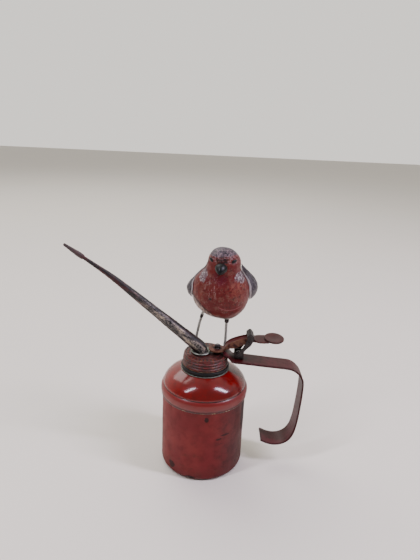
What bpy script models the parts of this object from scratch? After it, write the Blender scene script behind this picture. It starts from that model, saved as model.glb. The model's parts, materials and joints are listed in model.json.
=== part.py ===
"""Thumb-lever pump oil can with a small bird figure standing on its screw cap.

Frame: origin at the centre of the base on the floor, +Z up the can's axis, handle toward +X,
spout toward -X. All driving dimensions are in millimetres and are turned into metres once, by MM.
"""

import math

import bmesh
import bpy
from mathutils import Vector

for old in list(bpy.data.objects):
    bpy.data.objects.remove(old, do_unlink=True)

MM = 0.001

# ---- driving dimensions (mm) -------------------------------------------------------------------
CAN_R = 37.5  # outer radius of the drawn body
CAN_WALL = 0.8
CAN_TOP = 73.2  # open edge of the body, inside the rolled bead
BEAD_R = 38.8
BEAD_Z = 74.0
SHOULDER_TOP = 93.0
NECK_BORE = 16.4
NECK_R = 17.4
NECK_TOP = 104.0
CAP_R = 19.9
CAP_BOTTOM = 97.6
CAP_TOP = 107.6
CAP_UNDER = 106.4
HEAD_R = 16.0

PUMP_X = 10.2  # pump axis
BARREL_R = 4.6
BARREL_BORE = 3.8
BARREL_BOTTOM = 46.0
BARREL_TOP = 107.2
OUTLET_Z = 101.5
ROD_R = 1.5
ROD_TOP = 115.6
PISTON_Z = 60.0

SPOUT_X = -4.2  # axis of the spout's upright root
SPOUT_KNEE_Z = 111.2
SPOUT_SLOPE = math.radians(38.9)  # of the long lower run
TIP_SLOPE = math.radians(33.8)  # of the last run, which droops a little
DROOP_FROM, DROOP_TO = 90.0, 108.0  # distance along the spout over which it bends
SPOUT_ROOT_R = 5.9
SPOUT_WALL = 0.55
# distance along the spout's axis from the knee, outer radius
SPOUT_RUN = ((6.0, 5.75), (14.0, 5.45), (48.0, 4.2), (81.0, 3.2), (90.0, 2.85), (96.0, 2.6),
             (102.0, 2.35), (108.0, 2.1), (113.0, 1.9), (125.0, 1.5), (132.5, 1.35))
# distance along the same axis, outer and inner radius of the nozzle
NOZZLE = ((127.5, 1.95, 1.65), (128.5, 2.1, 1.65), (132.0, 2.3, 1.65), (133.7, 2.25, 1.65),
          (134.7, 2.15, 0.9), (140.5, 1.6, 0.75), (146.1, 1.15, 0.55), (146.7, 0.95, 0.55))

STRAP_HALF = 9.3
STRAP_T = 1.6
# outer face of the strap, from its root on the cap to the tip of the hook (x, z)
STRAP_PATH = ((15.6, 109.5), (18.2, 109.4), (20.0, 108.5), (22.0, 106.2), (24.0, 104.0),
              (26.4, 103.3), (30.0, 103.1), (40.0, 102.35), (52.0, 101.4), (64.0, 100.4),
              (73.0, 99.6), (77.5, 98.5), (81.3, 96.2), (84.6, 93.0), (86.9, 89.2), (88.0, 85.0),
              (88.25, 78.0), (88.0, 68.0), (87.3, 57.0), (86.5, 46.5), (85.2, 37.5), (83.3, 30.6),
              (80.2, 25.4), (76.0, 21.9), (71.2, 20.1), (66.0, 19.7), (61.0, 20.5), (57.2, 21.9),
              (54.2, 23.4))

LINK_LOW = (28.8, 108.4)  # lower pin of the fulcrum link (x, z)
LINK_HIGH = (37.6, 121.0)  # upper pin, on which the thumb lever rocks
LOOP_X, LOOP_Z, LOOP_R, LOOP_T = 9.7, 110.35, 7.3, 1.5

LEFT_FOOT = (-11.4, 9.6, 107.6)
RIGHT_FOOT = (16.5, 7.0, 109.6)
LEFT_HIP = (-3.6, 9.6, 144.0)
RIGHT_HIP = (17.8, 9.6, 139.0)
LEG_R = 0.95

# ---- scene helpers -----------------------------------------------------------------------------
PART = bpy.data.collections.new("thumb_pump_oil_can")
HELPERS = bpy.data.collections.new("cutters")
for made in (PART, HELPERS):
    bpy.context.scene.collection.children.link(made)


def material(name, colour, metal, rough):
    mat = bpy.data.materials.new(name)
    mat.use_nodes = True
    shader = mat.node_tree.nodes["Principled BSDF"]
    shader.inputs["Base Color"].default_value = (*colour, 1.0)
    shader.inputs["Metallic"].default_value = metal
    shader.inputs["Roughness"].default_value = rough
    mat.diffuse_color = (*colour, 1.0)
    return mat


def finish(name, bm, look, smooth_angle=32.0, pivot=(0.0, 0.0, 0.0)):
    """Turns a bmesh in millimetres into one object whose origin lies on pivot."""
    bmesh.ops.remove_doubles(bm, verts=bm.verts, dist=1e-5)
    bmesh.ops.recalc_face_normals(bm, faces=bm.faces)
    bmesh.ops.translate(bm, verts=bm.verts, vec=-Vector(pivot))
    bmesh.ops.scale(bm, verts=bm.verts, vec=(MM, MM, MM))
    mesh = bpy.data.meshes.new(name)
    bm.to_mesh(mesh)
    bm.free()
    obj = bpy.data.objects.new(name, mesh)
    obj.location = Vector(pivot) * MM
    if look is None:
        HELPERS.objects.link(obj)
        obj.hide_render = True
        obj.display_type = "WIRE"
        return obj
    PART.objects.link(obj)
    colour, metal, rough = look
    mesh.materials.append(material(name, colour, metal, rough))
    mesh.polygons.foreach_set("use_smooth", [True] * len(mesh.polygons))
    mesh.set_sharp_from_angle(angle=math.radians(smooth_angle))
    return obj


def cut(obj, *cutters):
    for cutter in cutters:
        modifier = obj.modifiers.new("cut_" + cutter.name, "BOOLEAN")
        modifier.operation = "DIFFERENCE"
        modifier.solver = "EXACT"
        modifier.object = cutter


def skin(bm, rings, closed_loop, poles=(None, None)):
    """Joins rings of vertices into a skin. Poles are optional end points of an open stack."""
    count = len(rings[0])
    pairs = list(zip(rings, rings[1:])) + ([(rings[-1], rings[0])] if closed_loop else [])
    for low, high in pairs:
        for i in range(count):
            j = (i + 1) % count
            bm.faces.new((low[i], low[j], high[j], high[i]))
    for ring, pole in ((rings[0], poles[0]), (rings[-1], poles[1])):
        if pole is not None:
            for i in range(count):
                bm.faces.new((ring[i], ring[(i + 1) % count], pole))


def lathe(name, profile, look, steps=40, centre=(0.0, 0.0), pivot=(0.0, 0.0, 0.0), angle=32.0):
    """Solid of revolution about a vertical axis. The profile is a closed loop of (r, z), or an
    open line whose two ends lie on the axis."""
    bm = bmesh.new()
    cx, cy = centre
    on_axis = profile[0][0] < 1e-9
    ends = (None, None)
    body = profile
    if on_axis:
        body = profile[1:-1]
        ends = (bm.verts.new((cx, cy, profile[0][1])), bm.verts.new((cx, cy, profile[-1][1])))
    rings = []
    phase = 0.37 if look is None else 0.0  # keeps a cutter's edges off the edges that it cuts
    turn = [2 * math.pi * (k + phase) / steps for k in range(steps)]
    for r, z in body:
        rings.append([bm.verts.new((cx + r * math.cos(a), cy + r * math.sin(a), z)) for a in turn])
    skin(bm, rings, not on_axis, ends)
    return finish(name, bm, look, angle, pivot)


def rod_between(name, a, b, radius, look, steps=12, pivot=(0.0, 0.0, 0.0)):
    bm = bmesh.new()
    a, b = Vector(a), Vector(b)
    turned = (b - a).to_track_quat("Z", "Y")
    rings = []
    for p in (a, b):
        turn = [2 * math.pi * k / steps for k in range(steps)]
        rings.append([bm.verts.new(p + turned @ Vector((radius * math.cos(t),
                                                        radius * math.sin(t), 0))) for t in turn])
    skin(bm, rings, False, (bm.verts.new(a), bm.verts.new(b)))
    return finish(name, bm, look, 32.0, pivot)


def sweep(name, points, radii, look, steps=12, inner=None, pivot=(0.0, 0.0, 0.0), side=(0, 1, 0)):
    """Round bar, or a tube when inner radii are given, along points, with one radius at each."""
    bm = bmesh.new()
    points = [Vector(p) for p in points]

    def ring(i, radius):
        ahead = points[min(i + 1, len(points) - 1)] - points[max(i - 1, 0)]
        ahead.normalize()
        across = (Vector(side) - ahead * ahead.dot(Vector(side))).normalized()
        up = ahead.cross(across)
        return [bm.verts.new(points[i] + across * radius * math.cos(2 * math.pi * k / steps)
                             + up * radius * math.sin(2 * math.pi * k / steps))
                for k in range(steps)]

    outer = [ring(i, radii[i]) for i in range(len(points))]
    if inner:
        bore = [ring(i, inner[i]) for i in reversed(range(len(points)))]
        skin(bm, outer + bore, True)
    else:
        skin(bm, outer, False, (bm.verts.new(points[0]), bm.verts.new(points[-1])))
    return finish(name, bm, look, 35.0, pivot)


def slab(name, outline, low, high, look, axis="Z", pivot=(0.0, 0.0, 0.0), angle=32.0):
    """Flat outline pulled from low to high along an axis. An outline along Z is (x, y) and one
    along Y is (x, z)."""
    bm = bmesh.new()
    stacks = []
    for level in (low, high):
        if axis == "Z":
            stacks.append([bm.verts.new((u, v, level)) for u, v in outline])
        else:
            stacks.append([bm.verts.new((u, level, v)) for u, v in outline])
    skin(bm, stacks, False)
    for ring in stacks:
        bm.faces.new(ring)
    return finish(name, bm, look, angle, pivot)


def circle(cx, cy, r, steps, start=0.0, end=2 * math.pi, stretch=1.0):
    full = abs(end - start - 2 * math.pi) < 1e-9
    last = steps if full else steps - 1
    return [(cx + stretch * r * math.cos(start + (end - start) * k / last),
             cy + r * math.sin(start + (end - start) * k / last)) for k in range(steps)]


def smooth_path(points, parts=3):
    """Catmull-Rom line through points."""
    pts = [Vector(p) for p in points]
    full = [2 * pts[0] - pts[1], *pts, 2 * pts[-1] - pts[-2]]
    out = []
    for i in range(1, len(full) - 2):
        p0, p1, p2, p3 = full[i - 1:i + 3]
        for k in range(parts):
            t = k / parts
            out.append(0.5 * (2 * p1 + (p2 - p0) * t + (2 * p0 - 5 * p1 + 4 * p2 - p3) * t * t
                              + (3 * p1 - p0 - 3 * p2 + p3) * t ** 3))
    return out + [pts[-1]]


# ---- looks: colour, metallic, roughness --------------------------------------------------------
FADED_RED = ((0.23, 0.045, 0.035), 0.0, 0.55)
BRIGHT_RED = ((0.32, 0.03, 0.02), 0.0, 0.3)
CAP_RED = ((0.17, 0.06, 0.045), 0.2, 0.5)
STRAP_RED = ((0.12, 0.035, 0.03), 0.0, 0.5)
DARK = ((0.03, 0.025, 0.022), 0.5, 0.5)
BLACK = ((0.01, 0.01, 0.01), 0.0, 0.6)
STEEL = ((0.45, 0.44, 0.42), 1.0, 0.4)
BRASS = ((0.5, 0.37, 0.15), 1.0, 0.4)
TIN = ((0.35, 0.34, 0.32), 1.0, 0.45)
LEATHER = ((0.16, 0.08, 0.04), 0.0, 0.7)
WIRE = ((0.25, 0.25, 0.24), 0.8, 0.5)
BREAST = ((0.4, 0.13, 0.09), 0.0, 0.5)
SLATE = ((0.24, 0.25, 0.27), 0.0, 0.5)

# ---- the can -----------------------------------------------------------------------------------
inner = CAN_R - CAN_WALL
lathe("can_body", [(0, 0), (27.0, 0), (28.0, 0.5), (31.0, 0.5), (32.0, 0), (34.8, 0), (36.3, 0.5),
                   (37.2, 1.6), (CAN_R, 3.2), (CAN_R, CAN_TOP), (inner, CAN_TOP),
                   (inner, 3.4), (36.3, 2.0), (34.8, 1.2), (0, 1.2)],
      FADED_RED, 44)

lathe("can_shoulder", [(37.8, 68.8), (38.15, 69.1), (38.6, 71.0), (BEAD_R, BEAD_Z - 0.8),
                       (BEAD_R, BEAD_Z + 0.9), (38.4, 76.8), (37.4, 78.5), (36.95, 79.2),
                       (36.85, 80.2), (36.1, 82.3), (34.2, 85.2), (31.0, 88.1), (26.8, 90.8),
                       (23.0, 92.5), (21.6, SHOULDER_TOP), (18.0, SHOULDER_TOP), (18.0, 92.2),
                       (22.3, 91.9), (29.2, 88.1), (34.4, 83.3), (36.0, 79.8), (36.2, 78.6),
                       (37.3, 76.6), (37.8, 74.8)],
      BRIGHT_RED, 44)

lathe("neck_ring", [(NECK_BORE, 91.5), (NECK_R, 91.5), (NECK_R, 93.3), (21.7, 93.3), (21.7, 94.0),
                    (NECK_R, 94.0), (NECK_R, 97.9), (17.9, 98.4), (17.9, 98.9), (NECK_R, 99.4),
                    (NECK_R, 100.4), (17.9, 100.9), (17.9, 101.4), (NECK_R, 101.9),
                    (NECK_R, NECK_TOP - 0.4), (17.1, NECK_TOP), (NECK_BORE, NECK_TOP)],
      TIN, 32)

lathe("neck_washer", [(18.3, 94.3), (20.9, 94.3), (21.35, 94.8), (21.4, 95.9), (21.2, 96.9),
                      (20.7, 97.3), (18.3, 97.3)], BLACK, 36)

# ---- the screw cap -----------------------------------------------------------------------------
cap = lathe("screw_cap", [(0, CAP_TOP), (18.25, CAP_TOP), (18.95, 107.15), (19.35, 106.3),
                          (19.55, 105.0), (19.65, 103.4), (20.05, 102.9), (20.05, 102.4),
                          (19.7, 101.9), (19.75, 101.3), (20.15, 100.8), (20.15, 100.3),
                          (19.8, 99.8), (19.9, 98.9), (20.3, 98.4), (20.3, 97.9),
                          (20.1, CAP_BOTTOM), (18.5, CAP_BOTTOM), (18.5, 105.0), (17.9, 106.1),
                          (16.9, CAP_UNDER), (0, CAP_UNDER)], CAP_RED, 40)
cap_spout_hole = lathe("cap_spout_hole", [(0, 105), (6.2, 105), (6.2, 109), (0, 109)], None, 24,
                       (SPOUT_X, 0))
cap_barrel_hole = lathe("cap_barrel_hole", [(0, 105), (4.9, 105), (4.9, 109), (0, 109)], None, 24,
                        (PUMP_X, 0))
rivet_places = ((16.4, 2.7), (16.4, -3.9))
rivet_holes = [lathe(f"rivet_hole_{k}", [(0, 105), (1.15, 105), (1.15, 111), (0, 111)], None, 12, p)
               for k, p in enumerate(rivet_places)]
cut(cap, cap_spout_hole, cap_barrel_hole, *rivet_holes)

# ---- the pump ----------------------------------------------------------------------------------
pump = (PUMP_X, 0.0)
head = lathe("pump_head", [(0, 105.2), (15.3, 105.2), (HEAD_R, 104.5), (HEAD_R, 99.0),
                           (15.4, 98.4), (0, 98.4)], BRASS, 32)
head_bore = lathe("head_bore", [(0, 97), (4.85, 97), (4.85, 107), (0, 107)], None, 24, pump)
head_socket = lathe("head_socket", [(0, 107), (6.2, 107), (6.2, 103.1), (2.2, 103.1),
                                    (2.2, 100.2), (0, 100.2)], None, 24, (SPOUT_X, 0))
head_passage = rod_between("head_passage", (SPOUT_X, 0, OUTLET_Z), (PUMP_X - 2.0, 0, OUTLET_Z),
                           1.4, None, 12)
cut(head, head_bore, head_socket, head_passage)

barrel = lathe("pump_barrel", [(BARREL_BORE, BARREL_BOTTOM), (BARREL_R, BARREL_BOTTOM),
                               (BARREL_R, BARREL_TOP), (BARREL_BORE, BARREL_TOP)], BRASS, 24, pump)
outlet = rod_between("outlet_hole", (PUMP_X - 6.0, 0, OUTLET_Z), (PUMP_X - 2.5, 0, OUTLET_Z),
                     1.4, None, 12)
cut(barrel, outlet)

gland = slab("gland_nut", circle(PUMP_X, 0, 4.7, 6), 107.95, 109.5, BRASS)
gland_stem = lathe("gland_stem", [(0, 104.6), (3.5, 104.6), (3.5, 108.3), (0, 108.3)], None, 20,
                   pump)
join_stem = gland.modifiers.new("join_stem", "BOOLEAN")
join_stem.operation, join_stem.solver, join_stem.object = "UNION", "EXACT", gland_stem
gland_bore = lathe("gland_bore", [(0, 103), (1.85, 103), (1.85, 111), (0, 111)], None, 16, pump)
cut(gland, gland_bore)
lathe("gland_packing", [(1.8, 103.2), (3.5, 103.2), (3.5, 104.3), (1.8, 104.3)], LEATHER, 16, pump)

lathe("foot_valve_body", [(0.9, 42.2), (0.9, 46.4), (2.4, 47.9), (2.4, 52.0), (3.5, 52.0),
                          (3.5, 45.6), (4.6, 45.6), (4.6, 43.6), (3.6, 43.0), (3.4, 38.0),
                          (2.2, 38.0), (2.2, 42.2)], BRASS, 20, pump)
BALL_R = 1.6
BALL_Z = 47.83
lathe("valve_ball", [(BALL_R * math.sin(math.pi * k / 8), BALL_Z - BALL_R * math.cos(math.pi * k / 8))
                     for k in range(9)], STEEL, 14, pump, (PUMP_X, 0, BALL_Z), 60.0)
lathe("valve_cage", [(0.6, 52.4), (0.6, 53.3), (3.4, 53.3), (3.4, 52.4)], BRASS, 16, pump)
lathe("suction_tube", [(1.3, 5.0), (1.9, 5.0), (1.9, 41.7), (1.3, 41.7)], BRASS, 16, pump)
strainer = lathe("suction_strainer", [(2.2, 8.6), (3.6, 8.2), (4.2, 6.8), (4.2, 2.2), (3.5, 2.2),
                                      (3.5, 6.4), (2.9, 7.4), (2.2, 7.8)], BRASS, 20, pump)
slots = [slab(f"strainer_slot_{k}", box, 3.0, 5.6, None)
         for k, box in enumerate((((PUMP_X - 6, -0.6), (PUMP_X + 6, -0.6), (PUMP_X + 6, 0.6),
                                   (PUMP_X - 6, 0.6)),
                                  ((PUMP_X - 0.6, -6), (PUMP_X + 0.6, -6), (PUMP_X + 0.6, 6),
                                   (PUMP_X - 0.6, 6))))]
cut(strainer, *slots)

# plunger: rod, dome nut, piston, cup leather, lower nut
plunger_at = (PUMP_X, 0.0, LOOP_Z)
lathe("plunger_rod", [(0, PISTON_Z - 5.0), (1.0, PISTON_Z - 5.0), (1.0, PISTON_Z + 2.8),
                      (ROD_R, PISTON_Z + 2.8), (ROD_R, 111.4), (1.2, 111.7), (1.2, ROD_TOP),
                      (0.7, ROD_TOP + 0.4), (0, ROD_TOP + 0.5)], STEEL, 12, pump, plunger_at)
lathe("plunger_nut", [(1.4, 112.5), (1.7, 112.5), (2.6, 113.2), (2.75, 114.1), (2.3, 115.0),
                      (1.4, 115.5)], DARK, 14, pump, plunger_at)
lathe("piston_head", [(1.15, PISTON_Z), (3.45, PISTON_Z), (3.45, PISTON_Z + 2.4),
                      (1.15, PISTON_Z + 2.4)], BRASS, 20, pump, plunger_at)
lathe("cup_leather", [(1.2, PISTON_Z - 1.4), (3.0, PISTON_Z - 1.4), (3.6, PISTON_Z - 0.9),
                      (3.65, PISTON_Z - 0.25), (1.2, PISTON_Z - 0.25)], LEATHER, 20, pump,
      plunger_at)
slab("piston_nut", circle(PUMP_X, 0, 2.5, 6), PISTON_Z - 3.4, PISTON_Z - 1.6, BRASS,
     pivot=plunger_at)
nut_bore = lathe("nut_bore", [(0, PISTON_Z - 5), (1.15, PISTON_Z - 5), (1.15, PISTON_Z),
                              (0, PISTON_Z)], None, 12, pump)
cut(bpy.data.objects["piston_nut"], nut_bore)

SPRING_LOW, SPRING_HIGH = PISTON_Z + 3.2, 102.5
coil = []
TURNS, EACH = 8, 12
for k in range(TURNS * EACH + 1):
    share = k / (TURNS * EACH)
    a = 2 * math.pi * k / EACH
    coil.append((PUMP_X + 2.65 * math.cos(a), 2.65 * math.sin(a),
                 SPRING_LOW + (SPRING_HIGH - SPRING_LOW) * share))
sweep("return_spring", coil, [0.4] * len(coil), STEEL, 5, side=(0, 0, 1))

# ---- spout -------------------------------------------------------------------------------------
run = Vector((-math.cos(SPOUT_SLOPE), 0, math.sin(SPOUT_SLOPE)))
knee = Vector((SPOUT_X, 0, SPOUT_KNEE_Z))


def on_spout(distance):
    """Point on the spout's axis, at a distance from the knee: straight, a short bend, straight."""
    bend = DROOP_TO - DROOP_FROM
    turn = SPOUT_SLOPE - TIP_SLOPE
    p = knee + run * min(distance, DROOP_FROM)
    parts = 12
    for k in range(parts):
        if distance > DROOP_FROM + bend * k / parts:
            step = min(distance - DROOP_FROM - bend * k / parts, bend / parts)
            a = SPOUT_SLOPE - turn * (k + 0.5) / parts
            p += Vector((-math.cos(a), 0, math.sin(a))) * step
    beyond = max(distance - DROOP_TO, 0.0)
    return p + Vector((-math.cos(TIP_SLOPE), 0, math.sin(TIP_SLOPE))) * beyond


axis_points = [Vector((SPOUT_X, 0, 103.4)), Vector((SPOUT_X, 0, 106.5)), Vector((SPOUT_X, 0, 108.2))]
radii = [SPOUT_ROOT_R - 0.05, SPOUT_ROOT_R, SPOUT_ROOT_R]
bend_in, bend_out = knee - Vector((0, 0, 1.9)), knee + run * 1.9
for t in (0.25, 0.5, 0.75):
    axis_points.append((1 - t) ** 2 * bend_in + 2 * t * (1 - t) * knee + t * t * bend_out)
    radii.append(SPOUT_ROOT_R)
for s, r in SPOUT_RUN:
    axis_points.append(on_spout(s))
    radii.append(r)
bores = [max(r - SPOUT_WALL, 0.8) for r in radii]
sweep("spout", axis_points, radii, DARK, 16, bores)
sweep("nozzle_tip", [on_spout(s) for s, _, _ in NOZZLE], [r for _, r, _ in NOZZLE], STEEL, 12,
      [r for _, _, r in NOZZLE])
lathe("spout_collar", [(6.3, 107.95), (8.6, 107.95), (8.8, 108.3), (8.5, 108.9), (7.9, 109.1),
                       (6.9, 108.8), (6.3, 108.4)], TIN, 24, (SPOUT_X, 0))

# ---- handle strap ------------------------------------------------------------------------------
line = smooth_path([(x, 0, z) for x, z in STRAP_PATH], 2)
bm = bmesh.new()
sections = []
for i, p in enumerate(line):
    ahead = (line[min(i + 1, len(line) - 1)] - line[max(i - 1, 0)]).normalized()
    out = Vector((-ahead.z, 0, ahead.x))
    half = STRAP_HALF
    edge = 0.35
    corners = ((half, -edge), (half - edge, 0.0), (edge - half, 0.0), (-half, -edge),
               (-half, -STRAP_T), (half, -STRAP_T))
    sections.append([bm.verts.new(p + Vector((0, y, 0)) + out * h) for y, h in corners])
skin(bm, sections, False)
bm.faces.new(sections[0])
bm.faces.new(sections[-1])
strap = finish("handle_strap", bm, STRAP_RED)
strap_notch = lathe("strap_notch", [(0, 105), (5.4, 105), (5.4, 111), (0, 111)], None, 24, pump)
bracket_holes = [lathe(f"bracket_hole_{k}", [(0, 98), (0.95, 98), (0.95, 106), (0, 106)], None, 12, p)
                 for k, p in enumerate(((26.9, 0.0), (32.0, 0.0)))]
cut(strap, strap_notch, *rivet_holes, *bracket_holes)
for k, (x, y) in enumerate(rivet_places):
    lathe(f"strap_rivet_{k + 1}", [(0, 106.7), (0.95, 106.7), (0.95, 109.65), (1.8, 109.65),
                                   (1.6, 109.95), (0.8, 110.1), (0, 110.12)], STEEL, 12, (x, y))

# ---- fulcrum bracket, link and pins ------------------------------------------------------------
LOW_PIN = (LINK_LOW[0], 0.0, LINK_LOW[1])
HIGH_PIN = (LINK_HIGH[0], 0.0, LINK_HIGH[1])
bracket = slab("fulcrum_bracket",
               [(-3.6, 110.4), (-3.6, 103.5), (3.6, 103.5), (3.6, 110.4), (2.5, 110.4),
                (2.5, 104.5), (-2.5, 104.5), (-2.5, 110.4)], 25.2, 33.6, DARK, "Y")
# the outline above was drawn across the bracket, so turn it a quarter turn about the vertical
for v in bracket.data.vertices:
    x, y, z = v.co
    drop = (y / MM - 31.0) * -0.075 * MM
    v.co = (y, x, z + drop)
bracket.data.flip_normals()
for k, (x, z) in enumerate(((26.9, 103.35), (32.0, 103.0))):
    lathe(f"bracket_rivet_{k + 1}", [(0, z - 3.2), (1.5, z - 3.2), (1.7, z - 2.7), (1.6, z - 2.2),
                                     (0.7, z - 2.0), (0.7, z + 1.85), (1.5, z + 1.85),
                                     (1.3, z + 2.3), (0, z + 2.5)], STEEL, 12, (x, 0))
low_pin_hole = rod_between("low_pin_hole", (LOW_PIN[0], -9, LOW_PIN[2]), (LOW_PIN[0], 9, LOW_PIN[2]),
                           1.25, None, 12)
rivet_clear = [lathe(f"bracket_rivet_hole_{k}", [(0, 102), (0.95, 102), (0.95, 106), (0, 106)],
                     None, 12, p) for k, p in enumerate(((26.9, 0.0), (32.0, 0.0)))]
cut(bracket, low_pin_hole, *rivet_clear)
rod_between("link_lower_pin", (LOW_PIN[0], -7.0, LOW_PIN[2]), (LOW_PIN[0], 7.0, LOW_PIN[2]), 1.0,
            STEEL, 12)

# the link is a stirrup: two side plates joined by a peaked bar over the lever
PLATE_IN, PLATE_OUT = 5.6, 6.6


def along(a, b, off, share):
    """Point at a share of the way from a to b, moved sideways by off."""
    d = Vector((b[0] - a[0], b[1] - a[1])).normalized()
    p = Vector(a).lerp(Vector(b), share) + Vector((d.y, -d.x)) * off
    return p.x, p.y


PEAK = (LINK_HIGH[0] + 0.9, 128.9)
stirrup_side = [along(LINK_LOW, LINK_HIGH, -2.0, -0.02), along(LINK_LOW, LINK_HIGH, -1.6, 0.5),
                along(LINK_LOW, LINK_HIGH, -2.6, 0.85), (35.2, 124.0), (35.3, 126.6),
                (37.2, 128.5), PEAK, (39.6, 128.2), (41.4, 126.0), (41.2, 122.8),
                along(LINK_LOW, LINK_HIGH, 2.6, 0.9), along(LINK_LOW, LINK_HIGH, 1.6, 0.5),
                along(LINK_LOW, LINK_HIGH, 2.0, 0.02), along(LINK_LOW, LINK_HIGH, 0.9, -0.12),
                along(LINK_LOW, LINK_HIGH, -0.9, -0.12)]
link = slab("fulcrum_link", stirrup_side, -PLATE_OUT, PLATE_OUT, DARK, "Y", LOW_PIN)
link_window = slab("link_window", [(22, 95), (50, 95), (50, 125.5), (41.8, 125.5), (38.6, 126.9),
                                   (34.8, 125.5), (22, 125.5)], -PLATE_IN, PLATE_IN, None, "Y")
link_low_hole = rod_between("link_low_hole", (LOW_PIN[0], -9, LOW_PIN[2]),
                            (LOW_PIN[0], 9, LOW_PIN[2]), 1.2, None, 12)
link_high_hole = rod_between("link_high_hole", (HIGH_PIN[0], -9, HIGH_PIN[2]),
                             (HIGH_PIN[0], 9, HIGH_PIN[2]), 1.2, None, 12)
cut(link, link_window, link_low_hole, link_high_hole)
rod_between("link_upper_pin", (HIGH_PIN[0], -7.2, HIGH_PIN[2]), (HIGH_PIN[0], 7.2, HIGH_PIN[2]),
            1.0, STEEL, 12, LOW_PIN)


# ---- thumb lever -------------------------------------------------------------------------------
# top line (x, z), half width, depth of the folded sides
LEVER = ((13.2, 111.5, 3.6, 1.0), (15.4, 111.9, 4.2, 1.3), (16.4, 113.8, 4.6, 2.2),
         (17.6, 116.2, 4.7, 4.2), (19.6, 118.3, 4.7, 5.8), (22.6, 120.1, 4.7, 6.6),
         (26.5, 121.8, 4.7, 6.4), (31.0, 123.3, 4.7, 5.8), (34.5, 124.2, 4.7, 5.6),
         (37.6, 124.8, 4.7, 6.0), (40.0, 124.6, 4.7, 5.4), (41.8, 123.7, 4.8, 3.2),
         (43.4, 122.9, 6.8, 1.3), (46.0, 122.7, 8.2, 1.2), (50.0, 122.8, 8.2, 1.2),
         (54.0, 123.1, 8.2, 1.2))
LEVER_T = 1.1
bm = bmesh.new()
tops = [Vector((x, 0, z)) for x, z, _, _ in LEVER]
stations = []
for i, (_, _, w, depth) in enumerate(LEVER):
    ahead = (tops[min(i + 1, len(tops) - 1)] - tops[max(i - 1, 0)]).normalized()
    up = Vector((-ahead.z, 0, ahead.x))
    c = 0.4
    corners = ((w, -c), (w - c, 0), (c - w, 0), (-w, -c), (-w, -depth), (LEVER_T - w, -depth),
               (LEVER_T - w, 0.08 - LEVER_T if depth < 1.4 else -LEVER_T),
               (w - LEVER_T, 0.08 - LEVER_T if depth < 1.4 else -LEVER_T), (w - LEVER_T, -depth),
               (w, -depth))
    stations.append([bm.verts.new(tops[i] + Vector((0, y, 0)) + up * h) for y, h in corners])
skin(bm, stations, False)
bm.faces.new(stations[0])
bm.faces.new(stations[-1])
lever = finish("thumb_lever", bm, STRAP_RED, pivot=HIGH_PIN)
loop_disc = slab("loop_disc", circle(LOOP_X, 0, LOOP_R, 28), LOOP_Z, LOOP_Z + LOOP_T, None)
pad_disc = lathe("pad_disc", [(0, 123.9), (7.6, 124.2), (8.5, 124.25), (8.8, 123.8),
                              (8.6, 122.8), (7.6, 122.3), (0, 121.95)], None, 28)
for v in pad_disc.data.vertices:
    v.co.y *= 1.22
    v.co.x += 59.3 * MM
for made in (loop_disc, pad_disc):
    join = lever.modifiers.new("join_" + made.name, "BOOLEAN")
    join.operation, join.solver, join.object = "UNION", "EXACT", made
rod_slot = slab("rod_slot", circle(PUMP_X, 0, 2.1, 20, stretch=1.25), 108, 114, None)
pin_bore = rod_between("pin_bore", (HIGH_PIN[0], -6, HIGH_PIN[2]), (HIGH_PIN[0], 6, HIGH_PIN[2]),
                       1.2, None, 12)
cut(lever, rod_slot, pin_bore)

# ---- bird figure -------------------------------------------------------------------------------
# height, middle (x, y), half width across, half length front to back
BIRD_RINGS = ((137.0, 17.0, 14.0, 5.5, 6.5), (138.6, 14.8, 14.4, 10.8, 12.0),
              (141.2, 12.8, 15.0, 15.8, 16.6), (144.6, 11.7, 15.6, 19.8, 20.4),
              (149.0, 11.2, 16.2, 23.0, 23.8), (155.0, 11.0, 16.6, 24.8, 25.6),
              (161.0, 11.0, 16.4, 25.3, 25.8), (167.0, 11.0, 15.6, 24.6, 24.4),
              (172.5, 10.8, 14.4, 22.2, 21.6), (177.0, 11.0, 12.8, 18.8, 18.4),
              (181.0, 11.8, 11.2, 15.6, 15.8), (185.0, 12.3, 10.0, 14.3, 14.6),
              (189.0, 12.5, 9.4, 14.0, 14.0), (193.0, 12.3, 9.2, 12.9, 12.8),
              (196.5, 11.9, 9.2, 10.6, 10.6), (199.5, 11.6, 9.2, 6.4, 6.4))


def bird_ring(z):
    """Middle and half sizes of the body at a height."""
    for low, high in zip(BIRD_RINGS, BIRD_RINGS[1:]):
        if low[0] <= z <= high[0]:
            t = (z - low[0]) / (high[0] - low[0])
            return [a + (b - a) * t for a, b in zip(low[1:], high[1:])]
    return BIRD_RINGS[0][1:] if z < BIRD_RINGS[0][0] else BIRD_RINGS[-1][1:]


bm = bmesh.new()
BIRD_STEPS = 26
rings = []
for z, cx, cy, rx, ry in BIRD_RINGS:
    turn = [2 * math.pi * k / BIRD_STEPS for k in range(BIRD_STEPS)]
    rings.append([bm.verts.new((cx + rx * math.cos(a), cy + ry * math.sin(a), z)) for a in turn])
skin(bm, rings, False, (bm.verts.new((17.6, 13.8, 136.1)), bm.verts.new((11.6, 9.2, 200.9))))
bird = finish("bird_body", bm, BREAST, 60.0)
sockets = []
for word, hip, foot in (("left", LEFT_HIP, LEFT_FOOT), ("right", RIGHT_HIP, RIGHT_FOOT)):
    aim = (Vector(hip) - Vector(foot)).normalized()
    sockets.append(rod_between(f"{word}_leg_socket", Vector(hip) - aim * 14, Vector(hip) + aim * 0.5,
                               LEG_R + 0.35, None, 12))
cut(bird, *sockets)


# share of the way down the wing, height, turn from the bird's side of the front and the back edge
WING = ((0.0, 187.0, -9, 8), (0.12, 183.3, -8, 24), (0.35, 176.2, -5, 42), (0.55, 170.0, -12, 52),
        (0.72, 163.9, -18, 60), (0.88, 157.8, -14, 66), (1.0, 153.2, -4, 60))


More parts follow.
